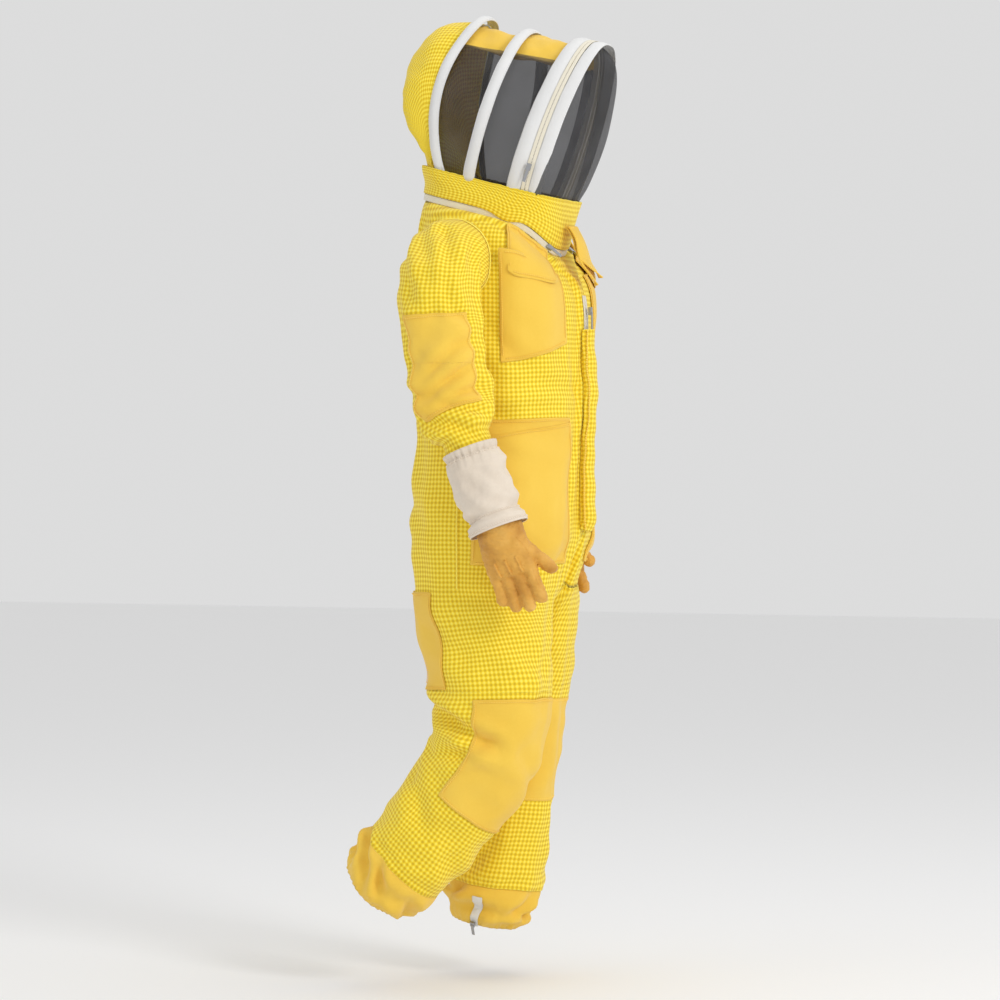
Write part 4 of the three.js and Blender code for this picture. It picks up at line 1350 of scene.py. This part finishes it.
def profile_at(pairs, v):
    """Points along a smooth curve through (y, z) pairs, v from 0 to 1."""
    path = smooth_path([(0, y, z) for y, z in pairs], 0.002)
    place = np.asarray(v) * (len(path) - 1)
    steps = np.arange(len(path))
    return np.interp(place, steps, path[:, 1]), np.interp(place, steps, path[:, 2])


def fan_point(foot_y, half_width, pairs, t, v, bulge=0.0):
    """Half ellipses that share their feet and fan out through a profile in the middle plane."""
    through_y, through_z = profile_at(pairs, v)
    reach = squircle(np.sin(math.pi * t), HOOD_SQUARE)
    width = half_width * (1 + 0.1 * np.sin(math.pi * reach) * (1 - v))
    x = -width * squircle(np.cos(math.pi * t), HOOD_SQUARE) * tucked_in(reach)
    y = foot_y + (through_y - foot_y) * reach + bulge * 4 * reach * (1 - reach) * (1 - v)
    return hood_frame(x, y, HOOD_FOOT + (through_z - HOOD_FOOT) * reach)


def skirt_depth(angle):
    return 0.022 + 0.043 * np.maximum(0, np.cos(angle)) ** 3


def neck_point(angle, height, flare=1.0):
    x = 0.124 * flare * squircle(np.sin(angle), 2.6)
    y = -0.133 * flare * squircle(np.cos(angle), 2.6)
    return hood_frame(x, y, height)


HOOD_CORE = hood_frame(0, 0.010, 0.120)


def grid_outs(points, core):
    """Outward directions of a grid of points, away from core."""
    across = np.gradient(points, axis=1)
    down = np.gradient(points, axis=0)
    outs = np.cross(across, down)
    outs /= np.linalg.norm(outs, axis=-1, keepdims=True) + 1e-12
    return outs if np.sum(outs * (points - core)) > 0 else -outs


def noise_grid(points, size):
    """Smooth noise at each point of a grid. size is the length of its swells, along each axis."""
    return np.array([[noise.noise(Vector(p / np.array(size))) for p in row] for row in points])


def rumpled(points, size, height, squash=(1, 1, 1)):
    """The hood's grid of points with soft uneven swells."""
    shift = noise_grid(points, [size * s for s in squash])
    return points + grid_outs(points, HOOD_CORE) * (shift * height)[..., None]


def hood_panels():
    v, u = mesh_grid(96, 40, (0.002, 0.998), (0.0, 1))
    crown_profile = [(0.108, 0.302), (0.150, 0.301), (0.184, 0.290), (0.218, 0.250), (0.231, 0.208),
                     (0.222, 0.165), (0.190, 0.122), (0.154, 0.078), (0.137, 0.018)]
    points = fan_point(REAR["foot"] + 0.003, 0.107, crown_profile, u, v, REAR["bulge"])
    points = rumpled(points, 0.075, 0.010, (1, 1, 1.6))
    points = rumpled(points, 0.022, 0.003, (1, 2.5, 1))
    pleats = np.sin(u * 95) * 0.0016 * np.exp(-v * 14)
    points = points + grid_outs(points, HOOD_CORE) * pleats[..., None]
    crown = sheet_object("hood_crown_cloth", points, "mesh_fabric", FABRIC)
    finish_piece(crown, "hood", "mesh_fabric", "hood_crown")
    cloth_sheet(points)
    v, u = mesh_grid(44, 44, (0.30, 0.70), (0.0, 1.0))
    points = arch_point(REAR, u) * (1 - v)[..., None] + arch_point(FRONT, u) * v[..., None]
    between = np.abs(np.sin(v * 2 * math.pi)) ** 0.8
    sag = -0.005 * between * (1 + 0.5 * np.sin(u * 37 + v * 9))
    points = rumpled(points + grid_outs(points, HOOD_CORE) * sag[..., None], 0.03, 0.005, (1, 0.8, 1))
    top = sheet_object("top_panel_cloth", points, "plain_cotton", COTTON)
    finish_piece(top, "hood", "plain_cotton", "top_panel")
    cloth_sheet(points)
    for line in (points[:, 1], points[:, -2]):
        add_to(top, *stitch_boxes(line, unit_rows(line - HOOD_CORE)), "thread")
    for label, ends in (("right", (0.001, 0.306)), ("left", (0.999, 0.694))):
        v, u = mesh_grid(36, 40, ends, (0.0, 1.0))
        points = arch_point(REAR, u) * (1 - v)[..., None] + arch_point(FRONT, u) * v[..., None]
        points = rumpled(points, 0.07, 0.004)
        veil = sheet_object("side_veil_net_" + label, points, "veil_net", 0)
        finish_piece(veil, "hood", "veil_net", "side_veil_" + label)
        cloth_sheet(points)


def strip_points(line, start, end, across, along, crown, base=0.0032, peak=0.0):
    """A sewn strip over an arch, from one front-to-back place to another.

    crown is how proud its middle stands, and peak is how much more at the top of the arch."""
    v, u = mesh_grid(along, across, (0.001, 0.999))
    points = arch_point(line, u, start + (end - start) * v)
    outs = grid_outs(points, HOOD_CORE)
    lift = base + crown * np.sin(math.pi * v) ** 0.7 + peak * np.sin(math.pi * u) ** 8
    return points + outs * lift[..., None], outs


def bands():
    settings = {
        "rear_band": (REAR, 0.011, -0.009, 0.0065, 0.010),
        "middle_band": (MIDDLE, 0.011, -0.011, 0.0055, 0.0),
        "front_band": (FRONT, 0.018, -0.0085, 0.0055, 0.0),
    }
    for name, (line, start, end, crown, peak) in settings.items():
        band_piece(name, line, start, end, crown, peak, "hood")
    band_piece("veil_band", FRONT, -0.0205, VEIL_EDGE - 0.005, 0.003, 0.0, "veil_door")
    tapes = (("face_zip_tape_hood", -0.008, ZIP_SHIFT + 0.0007, "hood"),
             ("face_zip_tape_veil", ZIP_SHIFT - 0.0007, -0.021, "veil_door"))
    for name, start, end, body in tapes:
        points, outs = strip_points(FRONT, start, end, 4, 110, 0.0, 0.0066)
        tape = sheet_object(name, points, "zip_tape", 0.0009)
        finish_piece(tape, body, "zip_tape")
        edge = -1 if body == "hood" else 0
        add_to(tape, *zip_teeth(points[edge], outs[edge], 0.0012), "zip_tape")


def band_piece(name, line, start, end, crown, peak, body):
    points, outs = strip_points(line, start, end, 10, 120, crown, peak=peak)
    points = rumpled(points, 0.03, 0.0010)
    band = sheet_object(name + "_cloth", points, "white_tape", 0.0013)
    for row in (1, -2):
        add_to(band, *stitch_boxes(points[row], outs[row]), "white_tape")
    finish_piece(band, body, "white_tape", name)


def zip_teeth(line, outs, overhang):
    """Small teeth along a zip's edge."""
    pitch, size, height = 0.0026, 0.0016, 0.0012
    walked = walked_along(line)
    vertices, faces = [], []
    for place in np.arange(pitch, walked[-1] - pitch, pitch):
        here = point_along(line, walked, place)
        near = min(int(np.searchsorted(walked, place)), len(line) - 1)
        out = outs[near]
        ahead = unit(line[near] - line[near - 1])
        side = unit(np.cross(out, ahead)) * overhang
        base = len(vertices)
        for rise in (0.0004, height):
            for a, b in ((-1, -1), (1, -1), (1, 1), (-1, 1)):
                shrink = 1 if rise < height else 0.7
                vertices.append(here + side * b * shrink + ahead * a * size / 2 * shrink + out * rise)
        faces += [(base + 4, base + 5, base + 6, base + 7)]
        faces += [(base + k, base + (k + 1) % 4, base + 4 + (k + 1) % 4, base + 4 + k) for k in range(4)]
    return vertices, faces


def face_veil():
    pairs = [(-0.104, 0.3165), (-0.122, 0.313), (-0.143, 0.296), (-0.153, 0.262), (-0.157, 0.200),
             (-0.153, 0.140), (-0.142, 0.077), (-0.130, 0.040), (-0.122, 0.018)]
    v, u = mesh_grid(90, 36, (0.002, 0.998))
    points = fan_point(FRONT["foot"] + VEIL_EDGE + 0.006, 0.112, pairs, u, v)
    loose = rumpled(points, 0.11, 0.0035)
    points = points + (loose - points) * ramp_up(v, 0, 0.4)[..., None]
    veil = sheet_object("face_veil_net", points, "veil_net", 0)
    finish_piece(veil, "veil_door", "veil_net", "face_veil")
    cloth_sheet(points)


def closed_ring(name, surface, across, down, material, thickness):
    """A ring of cloth right round the neck: surface(angle, v)."""
    turns = np.arange(across) / across * 2 * math.pi
    v, angle = np.meshgrid(np.linspace(0, 1, down + 1), turns, indexing="ij")
    points = surface(angle, v)
    faces = grid_quads(down + 1, across, lambda r, c: r * across + c % across)
    around = np.array([arc_lengths(ring) for ring in points])
    depth = -walked_along(points[:, 0])
    weave = [(around[r, c], depth[r]) for _, r, c in cell_corners(down + 1, across)]
    piece = make_object(name, points.reshape(-1, 3), faces, material, weave)
    return with_modifiers(piece, thickness, 1), points


def neck():
    def skirt(angle, v):
        from_front = np.abs((angle + math.pi) % (2 * math.pi) - math.pi)
        over = 0.011 * np.exp(-((from_front - 1.22) / 0.19) ** 2)
        top = 0.027
        height = top + (-skirt_depth(angle) - over - top) * v
        low = neck_point(angle, height, 1 + 0.012 * np.sin(math.pi * v) + 0.022 * v)
        across, ahead = (squircle(part, 4.4) for part in (np.sin(angle), np.cos(angle)))
        brim = hood_frame(0.122 * across, 0.0055 - 0.1345 * ahead, height)
        points = low + (brim - low) * (1 - ramp_up(v, 0.0, 0.75))[..., None]
        gathers = np.sin(angle * 64) * 0.0009 * np.exp(-v * 5) + 0.003 * np.sin(angle * 9 + 1) * v * (1 - v)
        return points + unit_rows(points - HOOD_CORE) * gathers[..., None]

    cloth, points = closed_ring("hood_skirt_cloth", skirt, 260, 12, "mesh_fabric", FABRIC)
    finish_piece(cloth, "hood", "mesh_fabric", "hood_skirt")
    cloth_sheet(points, closed=True)

    def tape(angle, v):
        return neck_point(angle, -skirt_depth(angle) - 0.001 - 0.012 * v, 1.018 - 0.006 * v)

    ring, points = closed_ring("neck_zip_tape", tape, 220, 3, "zip_tape", 0.0014)
    outs = unit_rows(points[1] - hood_frame(0, 0, -0.03))
    add_to(ring, *zip_teeth(points[1], outs, 0.0016), "zip_tape")
    finish_piece(ring, "coverall", "zip_tape", "neck_zip")


# ---- Seams and zips ----
def ridge(line, outs, width, height):
    """A rounded seam along a line of points, on the cloth whose outward directions are outs."""
    side = unit_rows(np.cross(outs, np.gradient(line, axis=0)))
    arch = np.linspace(0, math.pi, 6)[:, None, None]
    rings = line - side * np.cos(arch) * width / 2 + outs * np.sin(arch) * height
    return rings.reshape(-1, 3), grid_faces(len(arch), len(line))


def main_zip():
    reach = trunk.extent("main_zip")
    middle = (reach[2] + reach[3]) / 2
    points, outs = patch_grid(trunk, reach[:2], (middle - 1.6, middle + 1.6), 0.0022)
    tape = sheet_object("main_zip_tape", points, "zip_tape", 0.0013)
    centre = points.shape[1] // 2
    line = (points[:, centre] + points[:, -1 - centre]) / 2
    for shift in (0.0013, -0.0013):
        side = unit_rows(np.cross(outs[:, centre], np.gradient(line, axis=0))) * shift
        add_to(tape, *zip_teeth(line + side, outs[:, centre], 0.0011), "zip_tape")
    finish_piece(tape, "coverall", "zip_tape", "main_zip")
    rows = (reach[0] + (reach[1] - reach[0]) * 0.20, reach[1] + 1)
    points, outs = patch_grid(trunk, rows, (middle - 3.4, middle + 3.4), 0.0026)
    u = np.linspace(0, 1, points.shape[1])
    v = np.linspace(0, 1, points.shape[0])[:, None]
    lift = 0.0140 * np.sin(math.pi * u) ** 0.45 + 0.0012 * np.sin(v * 40 + 3 * u) * np.sin(math.pi * u)
    points = points + outs * lift[..., None]
    placket = sheet_object("zip_placket", points, "mesh_fabric", 0.002)
    for column in (1, -2):
        add_to(placket, *stitch_boxes(points[:, column], outs[:, column]), "thread")
    finish_piece(placket, "coverall", "mesh_fabric")
    cloth_sheet(points)


def ankle_zip(label):
    leg = legs[label]
    reach = leg.extent("ankle_zip_" + label)
    points, outs = patch_grid(leg, reach[:2], reach[2:], 0.0026, spacing=0.003)
    tape = sheet_object("ankle_zip_tape_" + label, points, "white_tape", 0.0012)
    centre = points.shape[1] // 2
    add_to(tape, *zip_teeth(points[:, centre], outs[:, centre], 0.0014), "zip_tape")
    finish_piece(tape, "shin_" + label, "white_tape", "ankle_zip_" + label)


def throat_flap():
    """The hook-and-loop flap and its lining, hung from the hood's skirt."""
    course = [(0, -0.134, -0.044), (0, -0.150, -0.078), (0, -0.162, -0.120), (0, -0.171, -0.153)]
    profile = smooth_path(course, 0.0028)
    layers = {
        "throat_flap_cloth": (0.027, 1.0, 0.0, ["throat_flap"]),
        "throat_flap_lining": (0.024, 0.88, 0.006, []),
    }
    for name, (half, reach, inset, replaced) in layers.items():
        last = int((len(profile) - 1) * reach)
        v, u = mesh_grid(14, last, (-1, 1))
        width = half * np.sqrt(np.clip((1 - v) / 0.16, 0.10, 1)) * (1 - 0.10 * np.exp(-v * 12))
        cupped = 0.007 * u ** 2 * (1 - 0.5 * v)
        wavy = 0.003 * np.sin(v * 9) * (1 - u) / 2
        curled = 0.04 * np.maximum(v - 0.7, 0) * np.maximum(-u, 0)
        points = np.zeros((*u.shape, 3)) + profile[:last + 1, None]
        points[..., 0] += u * width
        points[..., 1] += inset * (1 - 3.2 * v ** 3) + cupped - wavy - curled
        piece = sheet_object(name, points, "plain_cotton", 0.0018)
        sewn(piece, points, grid_outs(points, np.array([0, 0.02, -0.1])))
        finish_piece(piece, "throat_tab", "plain_cotton", *replaced)
        cloth_sheet(points)


def seam(name, tube, rows, columns, lift, width, height, top=math.inf):
    """A ridge along a line of a tube's rows and columns, below a height."""
    outs = tube.normals(rows, columns)
    line = tube.place(rows, columns) + outs * lift
    low = line[:, 2] < top
    piece = make_object(name, *ridge(line[low], outs[low], width, height), "mesh_fabric")
    finish_piece(piece, "coverall", "mesh_fabric")


def seams():
    """Ridges where the suit's panels are sewn together."""
    rows, around = trunk.shape
    down = np.arange(3, rows - 0.5, 0.5)
    turns = np.arange(0, SLEEVE_COLUMNS + 0.5, 0.5)
    for label, side in SIDES.items():
        beside = np.full(len(down), around / 2 + side * around / 4)
        seam("side_seam_" + label, trunk, down, beside, 0.0028, 0.0030, 0.0004, ARMPIT_Z - 0.01)
        seam("armhole_seam_" + label, sleeves[label], np.full(len(turns), 0.3), turns, 0.0012, 0.004, 0.0014)


# ---- Gloves ----
WRISTS = {"right": np.array([-0.266, -0.079, -0.590]), "left": np.array([0.266, 0.012, -0.594])}
FOREARM_TOPS = {"right": np.array([-0.266, 0.010, -0.363]), "left": np.array([0.266, 0.044, -0.363])}
HAND_DOWN = np.array([0, -0.3, -0.954])
HAND_FORWARD = np.array([0, -0.954, 0.3])
# The hand, in millimetres from the wrist: down along it, forward across it, and in towards the palm.
FINGERS = [((84, 33, 4), (144, 36, 14)), ((84, 11, 4), (153, 10, 15)), ((84, -11, 4), (147, -16, 15)),
           ((82, -32, 4), (130, -34, 13)), ((44, 32, 12), (99, 66, 24))]
PALM_RINGS = [(-6, 41, 42), (8, 40, 43), (18, 37, 44), (34, 31, 45.5), (50, 27, 47), (66, 23, 47),
              (82, 20, 47), (94, 15, 43)]          # how far down, half thickness and half width


def gauntlet(label, side):
    elbow, wrist = FOREARM_TOPS[label], WRISTS[label]
    along = unit(wrist - elbow)
    length = np.linalg.norm(wrist - elbow)
    forward = np.array([0, along[2], -along[1]])
    outward = np.array([side, 0, 0])
    rows, around = 74, 150
    start, end = 0.096, length + 0.007
    v, turn = np.meshgrid(np.linspace(0, 1, rows), np.arange(around) / around * 2 * math.pi, indexing="ij")
    distance = start + (end - start) * v
    radius = np.full(v.shape, 0.0495)
    elastic = distance - (start + 0.012)
    pleats = np.sin(turn * 23 + 1.2 * np.sin(turn * 3)) + 0.5 * np.sin(turn * 41 + 2)
    radius += pleats * 0.0017 * np.exp(-np.abs(elastic) / 0.012)
    radius -= 0.0045 * np.exp(-(elastic / 0.006) ** 2)
    radius += 0.0035 * np.sin(math.pi * v) + 0.0012 * (elastic < 0)
    hem = distance - (end - 0.026)
    pinch = np.exp(-(hem / 0.009) ** 2) * (0.35 + 0.65 * np.cos(turn - 2.4) ** 2)
    radius -= 0.0075 * pinch
    radius += 0.0045 * ramp_up(hem, 0.0, 0.010)
    welt = np.exp(-((hem - 0.010) / 0.0018) ** 2) + np.exp(-((end - distance - 0.0025) / 0.0022) ** 2)
    radius += 0.0014 * welt
    around_axis = forward * np.cos(turn)[..., None] + outward * np.sin(turn)[..., None]
    points = elbow + along * distance[..., None] + around_axis * radius[..., None]
    folds = noise_grid(points, (0.03, 0.03, 0.02))
    fine = noise_grid(points, 0.011)
    free = ramp_up(v, 0.05, 0.25) * (1 - ramp_up(v, 0.80, 0.9))
    slouch = np.sin(distance * 190 + 2.2 * np.sin(turn + 0.8)) * ramp_up(v, 0.35, 0.7)
    points += around_axis * ((0.008 * folds + 0.0012 * fine + 0.0022 * slouch) * free)[..., None]
    faces = grid_quads(rows, around, lambda r, c: r * around + c % around)
    step = 2 * math.pi * 0.05 / around
    weave = [(c * step, -distance[r, 0]) for _, r, c in cell_corners(rows, around)]
    piece = make_object("gauntlet_cloth_" + label, points.reshape(-1, 3), faces, "canvas", weave)
    for row in (-4, -14, 8):
        ring = np.vstack([points[row], points[row][:1]])
        outs = np.vstack([around_axis[row], around_axis[row][:1]])
        add_to(piece, *stitch_boxes(ring, outs), "canvas")
    with_modifiers(piece, 0.0016, 0)
    finish_piece(piece, "glove_" + label, "canvas", "gauntlet_" + label)
    cloth_sheet(points, closed=True)


def blob(vertices, faces, centre, radius, count=14):
    """Adds a ball to the lists of a mesh."""
    base = len(vertices)
    for row in range(count + 1):
        for column in range(count):
            high, turn = math.pi * row / count, 2 * math.pi * column / count
            vertices.append(centre + radius * np.array([math.sin(high) * math.cos(turn),
                                                        math.sin(high) * math.sin(turn), math.cos(high)]))
    faces += [(base + r * count + c, base + (r + 1) * count + c, base + (r + 1) * count + (c + 1) % count,
               base + r * count + (c + 1) % count) for r in range(count) for c in range(count)]


def glove_hand(label, side):
    wrist = WRISTS[label]
    inward = np.array([-side, 0, 0])

    def place(d, f, i):
        return wrist + (HAND_DOWN * d + HAND_FORWARD * f + inward * i) / 1000

    vertices, faces = [], []
    around = 40
    for d, thick, wide in PALM_RINGS:
        for k in range(around):
            angle = k / around * 2 * math.pi
            vertices.append(place(d, wide * math.cos(angle), 4 + thick * math.sin(angle)))
    count = len(PALM_RINGS)
    faces += grid_quads(count, around, lambda r, c: r * around + c % around)
    faces += [tuple(range(around)), tuple(range((count - 1) * around, count * around))]
    for knuckle, tip in FINGERS:
        start, end = place(*knuckle), place(*tip)
        steps = 16
        for k in range(steps + 1):
            share = k / steps
            radius = 0.0130 - 0.0012 * share + 0.0007 * math.sin(share * 9)
            blob(vertices, faces, start + (end - start) * share, radius)
    hand = make_object("glove_leather_" + label, vertices, faces, "leather")
    remesh = hand.modifiers.new("skin", "REMESH")
    remesh.mode = "VOXEL"
    remesh.voxel_size = 0.0021
    remesh.use_smooth_shade = True
    smooth = hand.modifiers.new("soft", "SMOOTH")
    smooth.iterations = 6
    smooth.factor = 0.6
    apply_modifiers(hand)
    wrinkle(hand)
    tree = BVHTree.FromObject(hand, bpy.context.evaluated_depsgraph_get())
    darts = [[(64 + 3 * k, f + 0.3 * k, -40) for k in range(10)] for f in (21, 0, -21)]
    thumb = [[(30 + 3.2 * k, 33 + 1.5 * k - 0.05 * k * k, -40) for k in range(12)]]
    edges = [[(96 + 3 * k, f + shift, -40) for k in range(12)]
             for f in (33, 11, -11, -32) for shift in (-8.5, 8.5)]
    for group, width, height in ((darts, 0.0046, 0.0034), (thumb, 0.0020, 0.0011), (edges, 0.0014, 0.0008)):
        for path in group:
            hits = [tree.ray_cast(Vector(place(*p)), Vector(inward), 0.09)[:2] for p in path]
            hits = [hit for hit in hits if hit[0] is not None]
            if len(hits) > 3:
                line, outs = (np.array(part) for part in zip(*hits))
                add_to(hand, *ridge(line - outs * 0.0002, outs, width, height), "leather")
    finish_piece(hand, "glove_" + label, "leather", "glove_hand_" + label)


def wrinkle(hand):
    """Creases the leather, mostly across the hand."""
    count = len(hand.data.vertices)
    points, normals = np.zeros(count * 3), np.zeros(count * 3)
    hand.data.vertices.foreach_get("co", points)
    hand.data.vertices.foreach_get("normal", normals)
    points, normals = points.reshape(-1, 3), normals.reshape(-1, 3)
    shift = []
    for point in points:
        along = point / (0.022, 0.022, 0.011)
        soft = noise.noise(Vector(along))
        crease = 1 - abs(noise.noise(Vector(along * 1.9 + 5))) * 3
        shift.append(0.0022 * soft - 0.0011 * max(0.0, crease) + 0.0004 * noise.noise(Vector(point / 0.004)))
    moved = points + normals * np.array(shift)[:, None]
    hand.data.vertices.foreach_set("co", moved.astype(np.float32).ravel())
    hand.data.update()


# ---- CAD parts that stay: zip sliders and hoops ----
def hardware():
    sliders = ["main_zip_slider", "face_zip_slider"]
    sliders += [f"{place}_zip_slider_{label}" for place in ("neck", "ankle") for label in SIDES]
    kept = {name: "zip_metal" for name in sliders} | {name: "hoop_wire" for name in HOOPS}
    for name, material in kept.items():
        piece = bpy.data.objects[name]
        piece.data.materials.clear()
        piece.data.materials.append(MATERIALS[material])
        if material == "zip_metal":
            edge = piece.modifiers.new("edge", "BEVEL")
            edge.width = 0.0005
            edge.segments = 2
            edge.limit_method = "ANGLE"
        else:
            piece.data.polygons.foreach_set("use_smooth", [True] * len(piece.data.polygons))


hood_panels()
bands()
face_veil()
neck()
main_zip()
throat_flap()
seams()
for label, side in SIDES.items():
    ankle_zip(label)
    gauntlet(label, side)
    glove_hand(label, side)
hardware()
